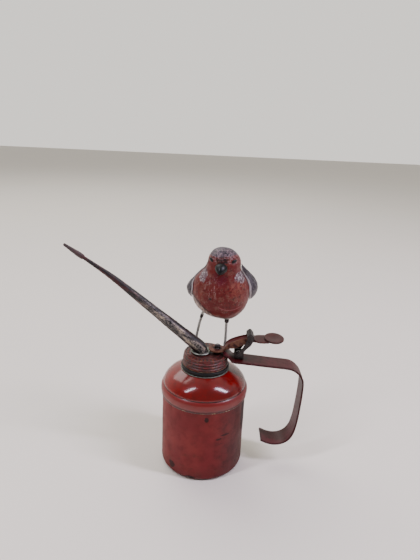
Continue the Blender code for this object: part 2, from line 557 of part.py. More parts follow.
def wing(name, side, look):
    """Plate that starts close to the body's flank and stands away from it toward its back."""
    steps_u, steps_v = 10, 10
    bm = bmesh.new()
    skins = ([], [])
    for i in range(steps_u + 1):
        u = i / steps_u  # 0 at the shoulder, 1 at the lower end
        for low, high in zip(WING, WING[1:]):
            if low[0] <= u <= high[0]:
                t = (u - low[0]) / (high[0] - low[0])
                height, front, back = (a + (b - a) * t for a, b in zip(low[1:], high[1:]))
        for layer in (0, 1):
            row = []
            for j in range(steps_v + 1):
                s = j / steps_v  # 0 at the front edge, 1 at the back edge
                z = height - 7.0 * u * s * s
                turned = math.radians(front + (back - front) * s)
                cx, cy, rx, ry = bird_ring(z)
                if side > 0:
                    flare = 7.4 * math.sin(math.pi * 0.7 * u ** 0.8)
                else:
                    low_down = min(max((u - 0.45) / 0.35, 0.0), 1.0)
                    flare = 4.6 * low_down * low_down * (3 - 2 * low_down)
                flare *= 1 - (1 - s) ** 3
                rim = max(1 - (2 * s - 1) ** 4, 0.0) * max(1 - (2 * u - 1) ** 6, 0.0)
                off = 0.4 + flare * 0.8 if layer == 0 else 0.9 + flare + 0.9 * rim
                row.append(bm.verts.new((cx + side * (rx + off) * math.cos(turned),
                                         cy + (ry + off) * math.sin(turned), z)))
            skins[layer].append(row)
    for layer in (0, 1):
        for i in range(steps_u):
            for j in range(steps_v):
                a, b = skins[layer][i], skins[layer][i + 1]
                bm.faces.new((a[j], a[j + 1], b[j + 1], b[j]))
    for i in range(steps_u):
        for j in (0, steps_v):
            bm.faces.new((skins[0][i][j], skins[0][i + 1][j], skins[1][i + 1][j], skins[1][i][j]))
    for j in range(steps_v):
        for i in (0, steps_u):
            bm.faces.new((skins[0][i][j], skins[0][i][j + 1], skins[1][i][j + 1], skins[1][i][j]))
    return finish(name, bm, look, 50.0)


wing("bird_wing_right", 1, SLATE)
wing("bird_wing_left", -1, SLATE)

tail_points = [(10.9, 41.6, 152.5), (10.8, 47.0, 149.0), (10.7, 53.0, 145.0), (10.6, 58.5, 141.5)]
bm = bmesh.new()
rows = []
for (x, y, z), half, thick in zip(tail_points, (5.5, 6.2, 7.0, 7.6), (2.4, 2.0, 1.6, 1.2)):
    rows.append([bm.verts.new((x + sx * half, y, z + sz * thick / 2 - (0.8 if sx else 0)))
                 for sx, sz in ((-1, -1), (0, -1), (1, -1), (1, 1), (0, 1), (-1, 1))])
skin(bm, rows, False)
bm.faces.new(rows[0])
bm.faces.new(rows[-1])
tail = finish("bird_tail", bm, SLATE, 50.0)

FACE = math.radians(-10.7)  # the head looks a little to its right


def on_head(turn, height, out):
    """Point off the head's surface, at a turn from its facing direction."""
    cx, cy, rx, ry = bird_ring(height)
    a = FACE + turn
    return Vector((cx + (rx + out) * math.sin(a), cy - (ry + out) * math.cos(a), height))


beak_base = on_head(0.0, 186.8, 0.35)
beak_run = Vector((math.sin(FACE), -math.cos(FACE), -0.22)).normalized()
beak_base -= beak_run * 1.2
cut(bird, rod_between("beak_socket", beak_base - beak_run * 0.3, beak_base + beak_run * 4, 4.5,
                      None, 12))
sweep("bird_beak", [beak_base, beak_base + beak_run * 3.2, beak_base + beak_run * 6.7,
                    beak_base + beak_run * 9.5, beak_base + beak_run * 10.6],
      [4.2, 4.0, 3.1, 1.6, 0.5], BLACK, 12, side=(1, 0, 0))
for word, turn in (("right", math.radians(46)), ("left", math.radians(-46))):
    at = on_head(turn, 191.6, 0.2)
    facing = Vector((math.sin(FACE + turn), -math.cos(FACE + turn), 0.1)).normalized()
    at -= facing * 0.7
    cut(bird, rod_between(f"eye_socket_{word}", at - facing * 0.25, at + facing * 3, 2.15, None, 12))
    sweep(f"bird_eye_{word}", [at, at + facing * 1.0, at + facing * 1.5, at + facing * 1.8],
          [1.9, 1.7, 1.0, 0.4], BLACK, 12)

for word, hip, foot in (("left", LEFT_HIP, LEFT_FOOT), ("right", RIGHT_HIP, RIGHT_FOOT)):
    hip, foot = Vector(hip), Vector(foot)
    run_up = (hip - foot).normalized()
    sweep(f"bird_leg_{word}", [foot + Vector((0, 0, 0.15)), foot + Vector((0, 0, 0.6)),
                               foot + Vector((0, 0, 0.75)), foot + run_up * 2.0, hip - run_up * 0.3],
          [2.0, 1.9, LEG_R + 0.15, LEG_R, LEG_R], WIRE, 12, side=(1, 0, 0))
    top = (139.6 if word == "left" else 135.6)
    ring_at = [foot + run_up * ((z - foot.z) / run_up.z) for z in (top - 3.0, top - 2.4, top - 0.6, top)]
    sweep(f"leg_collar_{word}", ring_at, [1.6, 2.0, 2.1, 1.7], BLACK, 12, [LEG_R + 0.2] * 4,
          side=(1, 0, 0))
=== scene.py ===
"""Looks of a thumb-lever pump oil can with a small painted bird standing on its screw cap.

Shapes are drawn in millimetres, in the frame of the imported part: +Z up the can's axis, handle
toward +X, spout toward -X, and the bird faces -Y.
"""

import json
import math

import bmesh
import bpy
import numpy as np
from mathutils import Matrix, Vector, noise

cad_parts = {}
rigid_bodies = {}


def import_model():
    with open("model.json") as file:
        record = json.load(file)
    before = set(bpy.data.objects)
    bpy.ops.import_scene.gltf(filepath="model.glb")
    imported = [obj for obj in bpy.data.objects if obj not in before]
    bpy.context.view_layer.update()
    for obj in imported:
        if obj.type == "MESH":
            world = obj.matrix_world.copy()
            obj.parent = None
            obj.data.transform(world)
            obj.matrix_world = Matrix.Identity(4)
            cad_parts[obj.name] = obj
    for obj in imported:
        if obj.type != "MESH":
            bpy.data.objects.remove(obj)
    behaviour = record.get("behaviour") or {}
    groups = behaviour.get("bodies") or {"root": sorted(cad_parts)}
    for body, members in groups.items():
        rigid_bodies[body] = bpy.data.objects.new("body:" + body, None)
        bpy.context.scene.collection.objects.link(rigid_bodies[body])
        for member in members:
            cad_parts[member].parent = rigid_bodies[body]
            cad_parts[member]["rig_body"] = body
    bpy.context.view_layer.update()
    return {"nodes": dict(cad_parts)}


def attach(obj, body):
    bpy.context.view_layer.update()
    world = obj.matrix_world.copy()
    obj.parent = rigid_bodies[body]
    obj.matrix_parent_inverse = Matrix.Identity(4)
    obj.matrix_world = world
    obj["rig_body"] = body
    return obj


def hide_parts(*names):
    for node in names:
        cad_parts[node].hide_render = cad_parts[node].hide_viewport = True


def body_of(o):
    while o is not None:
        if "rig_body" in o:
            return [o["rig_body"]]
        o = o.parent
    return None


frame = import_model()
NODES = frame["nodes"]
MM = 0.001
PUMP_X, SPOUT_X = 10.2, -4.2  # axes of the pump and of the spout's root
RIVETS = ((16.4, 2.7), (16.4, -3.9))  # of the strap's root

# ---- shader nodes


class Tone:
    """Value of a shader socket. Arithmetic on it adds Math nodes to the finish it belongs to."""

    def __init__(self, finish, socket):
        self.finish, self.socket = finish, socket

    def __add__(self, other):
        return self.finish.math("ADD", self, other)

    def __sub__(self, other):
        return self.finish.math("SUBTRACT", self, other)

    def __rsub__(self, other):
        return self.finish.math("SUBTRACT", other, self)

    def __mul__(self, other):
        return self.finish.math("MULTIPLY", self, other)

    def __truediv__(self, other):
        return self.finish.math("DIVIDE", self, other)

    __radd__, __rmul__ = __add__, __mul__

    def coat(self, share, *chip):
        """This colour under a coat of paint, which covers it where share is 1."""
        return self.finish.blend(share, self, paint(*chip))


class Finish:
    """One procedural material: a Principled shader and the nodes that feed it."""

    def __init__(self, name, **fixed):
        self.material = bpy.data.materials.new(name)
        self.material.use_nodes = True
        self.tree = self.material.node_tree
        self.shader = self.tree.nodes["Principled BSDF"]
        self.set(**fixed)
        self.spot = self.node("TexCoord", {}, {}, "Object")
        parts = self.tree.nodes.new("ShaderNodeSeparateXYZ")
        self.tree.links.new(self.spot.socket, parts.inputs[0])
        # millimetres in the part's frame
        self.x, self.y, self.z = (Tone(self, parts.outputs[k]) * (1 / MM) for k in "XYZ")

    def math(self, operation, first, second=0.0):
        return self.node("Math", {"operation": operation}, {0: first, 1: second})

    def set(self, **sockets):
        """Gives the shader's sockets values or tones. An underscore stands for a space."""
        for name, value in sockets.items():
            self._feed(self.shader.inputs[name.replace("_", " ")], value)

    def _feed(self, socket, value):
        if isinstance(value, Tone):
            self.tree.links.new(value.socket, socket)
        else:
            socket.default_value = value

    def node(self, kind, settings, sockets, output=0):
        made = self.tree.nodes.new("ShaderNode" + kind)
        for name, value in settings.items():
            setattr(made, name, value)
        for name, value in sockets.items():
            self._feed(made.inputs[name], value)
        return Tone(self, made.outputs[output])

    def at(self, stretch=(1, 1, 1), turn=(0, 0, 0), shift=(0, 0, 0)):
        """Object coordinates, stretched and turned, for a pattern that runs one way."""
        return self.node("Mapping", {"vector_type": "POINT"},
                         {"Vector": self.spot, "Scale": stretch, "Rotation": turn,
                          "Location": shift})

    def grain(self, size, detail=3.0, roughness=0.6, where=None, shift=0.0):
        """Noise from 0 to 1, with features about size millimetres across."""
        where = where or (self.at(shift=(shift, shift, shift)) if shift else self.spot)
        return self.node("TexNoise", {}, {"Vector": where, "Scale": 1 / (size * MM),
                                          "Detail": detail, "Roughness": roughness})

    def blotch(self, size, low, high, detail=4.0, roughness=0.7, shift=0.0):
        """1 in the patches of a noise that lie above a level, with soft edges."""
        return self.rise(self.grain(size, detail, roughness, shift=shift), low, high)

    def cells(self, size, where=None, feature="F1"):
        return self.node("TexVoronoi", {"feature": feature},
                         {"Vector": where or self.spot, "Scale": 1 / (size * MM)}, "Distance")

    def rise(self, value, low, high):
        """0 below low and 1 above high, with a soft step between. Low may be the larger."""
        return self.node("MapRange", {"interpolation_type": "SMOOTHSTEP"},
                         {"Value": value, "From Min": low, "From Max": high})

    def within(self, value, middle, half, soft):
        """1 close to middle and 0 further off than half and soft."""
        return self.rise(self.math("ABSOLUTE", value - middle), half + soft, half)

    def mark(self, centre, half, ragged=0.0, size=1.5, soft=0.35):
        """Worn patch about a point: 1 inside an ellipsoid of half sizes with a ragged edge."""
        total = None
        for axis, middle, reach in zip((self.x, self.y, self.z), centre, half):
            away = (axis - middle) / reach
            total = away * away if total is None else total + away * away
        if ragged:
            total = total + (self.grain(size, 4.0, 0.7) - 0.5) * ragged
        return self.rise(total, 1.0 + soft, 1.0 - soft)

    def blend(self, share, first, second):
        return self.node("Mix", {"data_type": "RGBA"}, {0: share, 6: first, 7: second}, 2)

    def own(self, name):
        return self.node("Attribute", {"attribute_name": name}, {}, "Fac")

    def relief(self, height, strength=0.5, depth=0.1):
        """Bump whose height of 1 is depth millimetres."""
        self.set(Normal=self.node("Bump", {}, {"Height": height, "Strength": strength,
                                               "Distance": depth * MM}))


def srgb(red, green, blue):
    """Linear colour from the three numbers of a paint chip, each from 0 to 255."""
    lin = [c / 12.92 if c <= 0.04045 else ((c + 0.055) / 1.055) ** 2.4
           for c in (red / 255, green / 255, blue / 255)]
    return (*lin, 1.0)


SHEEN = (0.014, 0.019, 0.016)  # light that the gloss adds to every colour under these lamps
LIFT = 1.2  # how much lighter a chip has to be than the paint should look here


def paint(red, green, blue):
    """Linear colour of a glossy paint that should look like this on the front of the object."""
    return (*(max(c - veil, 0.0025) * LIFT for c, veil in zip(srgb(red, green, blue), SHEEN)), 1.0)


# ---- finishes


# dark stains on the can and a painted reflection: middle, half sizes, raggedness, size of the rags,
# share
CAN_STAINS_AND_REFLECTION = (((3.3, -37.5, 62.8), (1.8, 3.0, 2.4), 1.6, 1.5, 1.0),
              ((14.5, -34.5, 42.2), (3.0, 3.0, 0.9), 2.4, 1.5, 0.8),
              ((20.0, -31.8, 45.4), (4.4, 4.0, 1.0), 2.6, 1.5, 0.75),
              ((-26.0, -27.0, 9.0), (3.4, 4.0, 3.6), 4.0, 2.0, 0.8),
              ((-9.0, -36.0, 3.2), (4.6, 4.0, 1.5), 2.6, 2.0, 1.0),
              # painted reflection: a tall dark streak down the right side
              ((35.5, -13.0, 56.0), (2.6, 5.0, 20.0), 2.4, 5.0, 0.8))


def can_paint():
    f = Finish("faded_can_paint", Specular_IOR_Level=0.3)
    broad, patch, fine = f.grain(30, 3), f.grain(7, 5, 0.65), f.grain(1.1, 4, 0.7)
    red = f.blend(f.rise(broad, 0.3, 0.7), paint(118, 50, 47), paint(104, 42, 41))
    red = red.coat(f.rise(patch, 0.42, 0.75) * 0.6, 84, 38, 37)
    # painted shade darkens the side under the handle, and the paint is darker towards the bottom
    side = f.rise(f.x + (patch - 0.5) * 26, 4.0, 34.0)
    red = red.coat(side * 0.8, 54, 36, 34)
    low = f.rise(f.z + (patch - 0.5) * 22, 16.0, 2.0)
    red = red.coat(low * 0.5, 78, 34, 34)
    stain = f.blotch(4.2, 0.57, 0.66, 6, 0.75, 0.3)
    stain = stain * f.rise(f.z + (broad - 0.5) * 30, 44.0, 16.0) * (0.35 + side * 0.65)
    brown = f.blotch(9.0, 0.54, 0.64, 6, 0.75, 2.3) * 0.5
    red = red.coat(brown * f.rise(f.z, 60.0, 24.0), 74, 46, 38)
    scratch = f.rise(f.grain(3.2, 3, 0.5, f.at((0.25, 0.25, 2.6), (0.0, 0.3, 0.0))), 0.69, 0.73)
    specks = f.rise(f.cells(2.3), 0.16, 0.08) * f.rise(patch, 0.5, 0.62)
    dark = scratch * 0.5 + stain * 0.7 + specks * 0.45
    # the stains, and the painted reflection of the last row
    for centre, half, ragged, size, share in CAN_STAINS_AND_REFLECTION:
        dark = dark + f.mark(centre, half, ragged, size) * share
    red = red.coat(f.rise(dark, 0.1, 0.9) * 0.9, 44, 30, 29)
    rim = f.rise(f.z + (fine - 0.5) * 1.6, 1.7, 0.6)
    red = red.coat(rim * 0.8, 56, 40, 34)
    worn = f.rise(f.own("edge") + (fine - 0.5) * 0.6 + (patch - 0.5) * 0.6, 0.72, 0.9)
    pale = f.blotch(0.9, 0.7, 0.76, 2, 0.5, 0.7) * f.rise(patch, 0.45, 0.6)
    red = red.coat(pale * 0.4 + worn * 0.5, 140, 92, 78)
    f.set(Base_Color=red, Roughness=0.42 + patch * 0.22 + dark * 0.15)
    f.relief(patch * 0.6 + fine * 0.25 - dark * 0.8, 0.35, 0.12)
    return f.material


def dome_paint():
    f = Finish("bright_dome_paint", Specular_IOR_Level=0.6)
    broad, patch, fine = f.grain(24, 3), f.grain(6, 5, 0.65), f.grain(1.2, 4, 0.7)
    red = f.blend(f.rise(broad, 0.35, 0.65), paint(110, 28, 20), paint(92, 24, 19))
    red = red.coat(f.rise(patch, 0.48, 0.7) * 0.4, 84, 22, 23)
    # painted sheen: the paint is made lighter and paler towards the left side
    dull = f.rise(f.x + (patch - 0.5) * 20, -14.0, -32.0)
    red = red.coat(dull * 0.6, 128, 48, 42)
    # painted shade: the paint is darker towards the right side, where the gloss is also made duller
    right_shade = f.rise(f.x + (patch - 0.5) * 24, 20.0, 36.0)
    red = red.coat(right_shade * 0.65, 76, 34, 26)
    bead = f.rise(f.z, 79.4, 78.6)
    red = red.coat(bead * 0.55, 112, 42, 38)
    # dirt along the two seams of the bead, and bare tin where it is rubbed
    seam = f.within(f.z + (fine - 0.5) * 0.5, 79.5, 0.3, 0.35) + f.within(f.z, 69.2, 0.5, 0.4)
    red = red.coat(f.rise(seam * (0.5 + patch), 0.3, 0.8) * 0.85, 40, 20, 20)
    dirt = f.rise(f.z + (patch - 0.5) * 5 + (fine - 0.5) * 3, 72.4, 70.2)
    red = red.coat(dirt * 0.65, 52, 28, 27)
    edge = f.own("edge")
    chips = f.rise(edge + (fine - 0.5) * 0.7 + (patch - 0.5) * 0.9, 0.86, 0.98)
    red = red.coat(chips * 0.6, 160, 122, 98)
    tin = f.within(f.z + (fine - 0.5) * 0.4, 69.3, 0.3, 0.3) * f.rise(patch + fine, 1.1, 1.2)
    red = red.coat(tin * 0.8, 178, 158, 120)
    specks = f.rise(f.cells(3.1), 0.14, 0.07) * f.rise(patch, 0.5, 0.58)
    red = red.coat(specks * 0.75, 44, 24, 22)
    f.set(Base_Color=red, Roughness=0.09 + patch * 0.12 + right_shade * 0.14 + bead * 0.24)
    f.relief(patch * 0.7 + fine * 0.1 - specks, 0.25, 0.12)
    return f.material


def cap_paint():
    f = Finish("worn_cap_paint", Specular_IOR_Level=0.5)
    patch, fine = f.grain(3.4, 5, 0.7), f.grain(0.8, 4, 0.7)
    round_it = f.grain(1.6, 4, 0.7, f.at((0.4, 0.4, 2.0)))
    edge = f.own("edge")
    red = f.blend(f.rise(patch, 0.4, 0.65), paint(70, 42, 38), paint(52, 38, 34))
    green = f.rise(patch + (fine - 0.5) * 0.6, 0.5, 0.62)
    red = red.coat(green * 0.6, 72, 66, 54)
    hollow = f.rise(edge + (round_it - 0.5) * 0.5, 0.44, 0.24)
    red = red.coat(hollow * 0.9, 26, 20, 19)
    worn = f.rise(edge + (patch - 0.5) * 0.9 + (round_it - 0.5) * 0.5, 0.66, 0.84)
    red = red.coat(worn * 0.8, 150, 128, 98)
    fresh = f.blotch(2.8, 0.5, 0.58, 5, 0.75, 1.7)
    red = red.coat(fresh * 0.6, 112, 32, 30)
    face = f.rise(f.z, 107.0, 107.2)
    red = red.coat(face * f.rise(edge, 0.55, 0.45) * 0.75, 34, 22, 20)
    red = red.coat(face * f.rise(edge, 0.56, 0.7) * 0.8, 104, 44, 40)
    f.set(Base_Color=red, Metallic=worn * 0.5 + green * 0.1, Roughness=0.34 + patch * 0.25)
    f.relief(patch * 0.5 + fine * 0.5, 0.45, 0.14)
    return f.material


def lever_wear(f, red, patch, fine, bare):
    """Brown along the lever's raised sides and round its loop, and dark red in the hollow."""
    off = f.math("ABSOLUTE", f.y)
    arch = f.rise(f.x, 14.8, 16.2) * f.rise(f.x, 42.6, 41.2)
    red = red.coat(arch * f.rise(off, 3.3, 2.4) * 0.8, 84, 26, 26)
    away = f.math("POWER", (f.x - PUMP_X) * (f.x - PUMP_X) + f.y * f.y, 0.5)
    ring = f.rise(away + (fine - 0.5) * 0.8, 3.7, 4.3) * f.rise(f.x, 16.2, 14.8)
    brown = f.rise(arch * f.rise(off + (fine - 0.5) * 0.8, 3.3, 3.8) + ring, 0.0, 1.0)
    red = f.blend(brown * f.rise(patch, 0.62, 0.45) * 0.6, red, bare)
    return red.coat(f.rise(away, 3.5, 2.9) * 0.7, 30, 22, 22)


def strap_paint(name, light, dark, bare, lever=False):
    """Dark paint on pressed steel, rubbed through to brown along its edges."""
    f = Finish(name, Specular_IOR_Level=0.25)
    broad, patch = f.grain(16, 4, 0.6), f.grain(3.6, 5, 0.7)
    fine = f.grain(1.0, 4, 0.7, f.at((0.3, 1.0, 0.3)))
    edge = f.own("edge")
    red = f.blend(f.rise(broad, 0.35, 0.65), light, dark)
    red = red.coat(f.rise(patch, 0.48, 0.7) * 0.6, 44, 26, 26)
    rub = f.rise(edge + (patch - 0.5) * 0.9 + (fine - 0.5) * 0.4, 0.68, 0.92)
    red = f.blend(rub * 0.55, red, bare)
    black = f.rise(f.cells(3.4), 0.16, 0.06) * f.rise(patch, 0.48, 0.6)
    black = black + f.blotch(2.2, 0.62, 0.7, 4, 0.7, 1.1) * 0.7
    black = black + f.rise(edge + (fine - 0.5) * 0.5, 0.62, 0.9) * f.rise(patch, 0.56, 0.44)
    red = red.coat(f.rise(black, 0.1, 0.9) * 0.85, 26, 20, 20)
    if lever:
        red = lever_wear(f, red, patch, fine, bare)
    f.set(Base_Color=red, Roughness=0.36 + patch * 0.24 + rub * 0.1, Metallic=rub * 0.08)
    f.relief(patch * 0.7 + fine * 0.4 - black * 0.5, 0.35, 0.12)
    return f.material


def spout_iron():
    f = Finish("oily_spout_iron", Specular_IOR_Level=0.5)
    patch, fine = f.grain(4.0, 5, 0.7), f.grain(1.0, 4, 0.75)
    # the finish runs along the spout, which leans the same way all along
    along = f.at(turn=(0.0, math.radians(-38.9), 0.0))

    def drawn(share):
        return f.node("Mapping", {}, {"Vector": along, "Scale": (share, 1, 1)})

    streak = f.grain(3.4, 5, 0.7, drawn(0.3))
    base = f.blend(f.rise(streak, 0.42, 0.6), paint(30, 25, 25), paint(54, 46, 44))
    rust = f.rise(f.x + (patch - 0.5) * 50, -38.0, -70.0)
    base = base.coat(rust * f.rise(streak, 0.46, 0.58) * 0.7, 74, 44, 42)
    near = f.rise(f.x + (patch - 0.5) * 16, -72.0, -34.0)
    # painted highlight down the middle of the side that faces forward, mottled silver and cream;
    # the metal is made shinier there too
    height = (f.x - SPOUT_X) * 0.628 + (f.z - 111.2) * 0.778
    middle = f.within(height + (fine - 0.5) * 1.6, 0.8, 2.2, 1.4) * f.rise(f.y, 0.0, -1.0)
    highlight_band = near * middle * f.rise(streak + (fine - 0.5) * 0.9, 0.4, 0.52)
    base = base.coat(highlight_band * 0.85, 126, 121, 116)
    # the cream mottling of the painted highlight
    cream = near * middle * f.rise(fine + (streak - 0.5) * 1.4, 0.56, 0.66)
    base = base.coat(cream * 0.85, 176, 160, 138)
    grease = f.rise(f.grain(2.2, 4, 0.7, drawn(0.5)), 0.55, 0.64)
    base = base.coat(grease * 0.85, 22, 19, 19)
    tip = f.rise(f.x, -104.0, -108.0)
    base = base.coat(tip * 0.6, 78, 68, 66)
    f.set(Base_Color=base, Metallic=0.1 + highlight_band * 0.4 - grease * 0.1,
          Roughness=0.42 + patch * 0.25 - highlight_band * 0.08)
    f.relief(patch * 0.6 + fine * 0.6 - grease * 0.4, 0.5, 0.14)
    return f.material


def metal(name, bright, dull, dirt, rough=0.35, shine=1.0, size=2.0):
    """Plain metal with tarnish in patches and dirt in its corners."""
    f = Finish(name)
    patch, fine = f.grain(size, 5, 0.7), f.grain(size / 4, 3, 0.6)
    edge = f.own("edge")
    base = f.blend(f.rise(patch, 0.38, 0.66), bright, dull)
    black = f.rise(edge + (patch - 0.5) * 0.8, 0.42, 0.2)
    spots = f.rise(patch + (fine - 0.5) * 0.8, 0.6, 0.72)
    base = f.blend(black * 0.9, base, dirt)
    base = f.blend(spots * 0.7, base, dirt)
    f.set(Base_Color=base, Metallic=shine - black * 0.6 * shine - spots * 0.4 * shine,
          Roughness=rough + patch * 0.25 + spots * 0.15)
    f.relief(patch * 0.5 + fine * 0.4, 0.3, 0.06)
    return f.material


def plain(name, light, dark, rough, size=1.2, depth=0.05, **fixed):
    """Rubber, leather and enamel: one colour that varies a little, with a fine skin."""
    f = Finish(name, **fixed)
    patch, fine = f.grain(size * 4, 4), f.grain(size, 4, 0.65)
    f.set(Base_Color=f.blend(f.rise(patch, 0.3, 0.7), light, dark), Roughness=rough + fine * 0.2)
    f.relief(fine, 0.4, depth)
    return f.material


# daubs of colour on the breast: a blotch's six numbers, share, paint chip
BREAST_DAUBS = ((7.0, 0.5, 0.6, 4, 0.7, 5.0, 0.6, (104, 72, 62)),
                (6.0, 0.5, 0.58, 4, 0.7, 6.0, 0.75, (92, 26, 32)),
                (3.2, 0.54, 0.62, 5, 0.75, 8.0, 0.7, (50, 27, 29)),
                (2.2, 0.57, 0.64, 5, 0.75, 3.1, 0.5, (140, 104, 98)))


def bird_paint():
    f = Finish("hand_painted_bird", Specular_IOR_Level=0.3)
    broad, patch, fine = f.grain(13, 4, 0.6), f.grain(3.4, 5, 0.7), f.grain(0.9, 4, 0.7)
    drawn = f.grain(1.7, 4, 0.65, f.at((1.0, 1.0, 0.3)))
    daub = f.grain(1.9, 5, 0.75, shift=0.9)
    wander = (patch - 0.5) * 6.0 + (fine - 0.5) * 3.0
    red = f.blend(f.rise(broad, 0.35, 0.66), paint(100, 50, 46), paint(90, 40, 40))
    orange = f.mark((25.0, -3.0, 168.0), (9.0, 12.0, 8.0), 2.2, 4.0, 0.8)
    orange = orange + f.mark((-10.0, -2.0, 165.0), (5.0, 12.0, 9.0), 2.2, 4.0, 0.8) * 0.6
    red = red.coat(orange * f.rise(patch, 0.36, 0.6) * 0.75, 132, 78, 64)
    deep = f.mark((13.0, -12.0, 153.0), (15.0, 16.0, 13.0), 1.8, 5.0, 0.8)
    red = red.coat(deep * 0.75, 88, 28, 27)
    throat = f.mark((9.5, -6.0, 179.0), (5.5, 10.0, 7.0), 1.6, 3.0, 0.7)
    red = red.coat(throat * 0.65, 82, 38, 50)
    for size, low, high, detail, rough, shift, share, chip in BREAST_DAUBS:
        red = red.coat(f.blotch(size, low, high, detail, rough, shift) * share, *chip)
    streaks = f.mark((2.5, -8.0, 169.0), (6.0, 14.0, 9.0), 2.0, 2.4, 0.8)
    red = red.coat(streaks * f.rise(drawn, 0.52, 0.62) * 0.6, 150, 124, 120)
    bow = f.z - (f.x - 19.0) * (f.x - 19.0) * 0.03
    arc = f.within(bow + (fine - 0.5) * 1.2, 150.6, 0.15, 0.5)
    arc = arc * f.within(f.x, 18.0, 8.0, 3.0) * f.rise(f.y, 6.0, 0.0)
    red = red.coat(arc * 0.6, 140, 82, 82)
    # slate back, crown and nape, dry brushed
    back = f.rise(f.y + wander, 13.0, 19.0)
    crown = f.rise(f.z - f.x * 0.06 + wander * 0.9, 193.5, 196.0)
    slate = f.blend(f.rise(patch, 0.42, 0.6), paint(72, 66, 72), paint(48, 44, 52))
    slate = slate.coat(f.rise(fine + (daub - 0.5) * 0.8, 0.57, 0.66) * 0.75, 134, 122, 125)
    slate = slate.coat(f.blotch(1.8, 0.5, 0.56, 5, 0.75, 1.9) * 0.9, 26, 24, 29)
    cover = f.rise(back + crown, 0.4, 0.8)
    coat = f.blend(cover, red, slate)
    brow = f.rise(f.z + wander * 0.6, 189.5, 191.5) * f.rise(f.y, 9.0, 4.0)
    brow = brow * f.blotch(1.4, 0.5, 0.6, 4, 0.7, 4.3)
    coat = coat.coat(brow * 0.7, 138, 116, 118)
    soot = f.mark((10.5, -6.0, 193.0), (5.5, 8.0, 3.4), 1.6, 1.6, 0.6)
    coat = coat.coat(soot * f.rise(daub, 0.4, 0.54) * 0.9, 28, 26, 32)
    # white flashes where the neck meets the wings
    flash_r = f.mark((27.5, 3.0, 177.5), (7.0, 9.0, 4.6), 3.0, 2.0, 0.6)
    edge = f.within(f.x - (176.0 - f.z) * 0.5, 31.6, 0.4, 0.8)
    flash_r = flash_r + edge * f.within(f.z, 172.0, 6.0, 3.0) * f.rise(f.y, 14.0, 9.0)
    flash_l = f.mark((-5.0, 4.0, 178.5), (4.0, 8.0, 7.5), 1.8, 2.0, 0.6) * 0.8
    flash = f.rise(flash_r + flash_l, 0.2, 0.9)
    coat = coat.coat(flash * 0.6, 104, 98, 104)
    coat = coat.coat(flash * f.rise(daub, 0.5, 0.58) * 0.85, 44, 42, 48)
    flash = flash * f.rise(drawn + (fine - 0.5) * 0.7, 0.52, 0.6)
    coat = coat.coat(flash * 0.9, 172, 164, 164)
    # pale underside with a dark line round it, higher on the bird's right
    slope = f.math("MINIMUM", f.x - 9.0)
    under = f.z + slope * 0.8 + wander * 0.3
    belly = f.rise(under, 140.6, 139.6)
    cream = f.blend(f.rise(drawn, 0.42, 0.58), paint(158, 140, 130), paint(92, 78, 74))
    coat = f.blend(belly * 0.95, coat, cream)
    line = f.within(under, 140.9, 0.4, 0.6) * f.rise(patch, 0.36, 0.5)
    coat = coat.coat(line * 0.85, 30, 24, 26)
    dot = f.mark((1.6, -12.0, 160.3), (1.5, 8.0, 1.2), 1.2)
    coat = coat.coat(dot * 0.85, 40, 16, 20)
    f.set(Base_Color=coat, Roughness=0.34 + patch * 0.25)
    f.relief(drawn * 0.8 + fine * 0.4 + patch * 0.5, 0.45, 0.2)
    return f.material


def wing_paint():
    f = Finish("slate_wing_paint", Specular_IOR_Level=0.3)
    patch, fine = f.grain(3.0, 5, 0.7), f.grain(0.9, 4, 0.7)
    feather = f.grain(2.2, 3, 0.6, f.at((1.0, 1.0, 0.22), (0.35, 0.0, 0.0)))
    slate = f.blend(f.rise(feather, 0.42, 0.6), paint(84, 82, 84), paint(56, 54, 58))
    slate = slate.coat(f.rise(patch, 0.52, 0.64) * 0.7, 32, 30, 34)
    slate = slate.coat(f.rise(fine + (feather - 0.5), 0.58, 0.68) * 0.5, 118, 114, 116)
    root = f.rise(f.z + (patch - 0.5) * 8, 176.0, 183.0)
    slate = slate.coat(root * 0.6, 46, 44, 50)
    slate = slate.coat(f.own("groove") * 0.8, 30, 28, 32)
    rim = f.rise(f.own("margin") + (fine - 0.5) * 0.4, 0.4, 0.7)
    slate = slate.coat(rim * 0.75, 168, 160, 160)
    f.set(Base_Color=slate, Roughness=0.36 + patch * 0.2)
    f.relief(feather + fine * 0.4, 0.45, 0.18)
    return f.material


CAN_PAINT = can_paint()
DOME_PAINT = dome_paint()
CAP_PAINT = cap_paint()
STRAP_PAINT = strap_paint("strap_paint", paint(74, 40, 41), paint(62, 30, 32), paint(54, 38, 34))
LEVER_PAINT = strap_paint("lever_paint", paint(66, 36, 37), paint(54, 28, 29), paint(112, 82, 64),
                          lever=True)
SPOUT_IRON = spout_iron()
RUBBER = plain("washer_rubber", paint(30, 28, 29), paint(24, 24, 25), 0.4, Specular_IOR_Level=0.3)
LEATHER = plain("oiled_leather", paint(92, 58, 36), paint(64, 40, 26), 0.6)
ENAMEL = plain("black_enamel", srgb(8, 8, 10), srgb(17, 22, 21), 0.26, 0.8, 0.05,
               Specular_IOR_Level=0.22)
TIN = metal("dull_tin", srgb(150, 154, 144), srgb(104, 108, 98), srgb(44, 40, 36), 0.4, 0.8)
STEEL = metal("worn_steel", srgb(150, 146, 142), srgb(104, 98, 94), srgb(40, 30, 28), 0.35)
DARK_IRON = metal("dark_iron", srgb(52, 46, 46), srgb(32, 26, 26), srgb(16, 13, 13), 0.36, 0.5)
WIRE = metal("leg_wire", srgb(164, 164, 158), srgb(134, 134, 128), srgb(70, 68, 66), 0.42, 0.05)
BRASS = metal("turned_brass", srgb(180, 148, 86), srgb(136, 106, 62), srgb(58, 44, 30), 0.32)
BIRD_PAINT = bird_paint()
WING_PAINT = wing_paint()

# ---- shapes


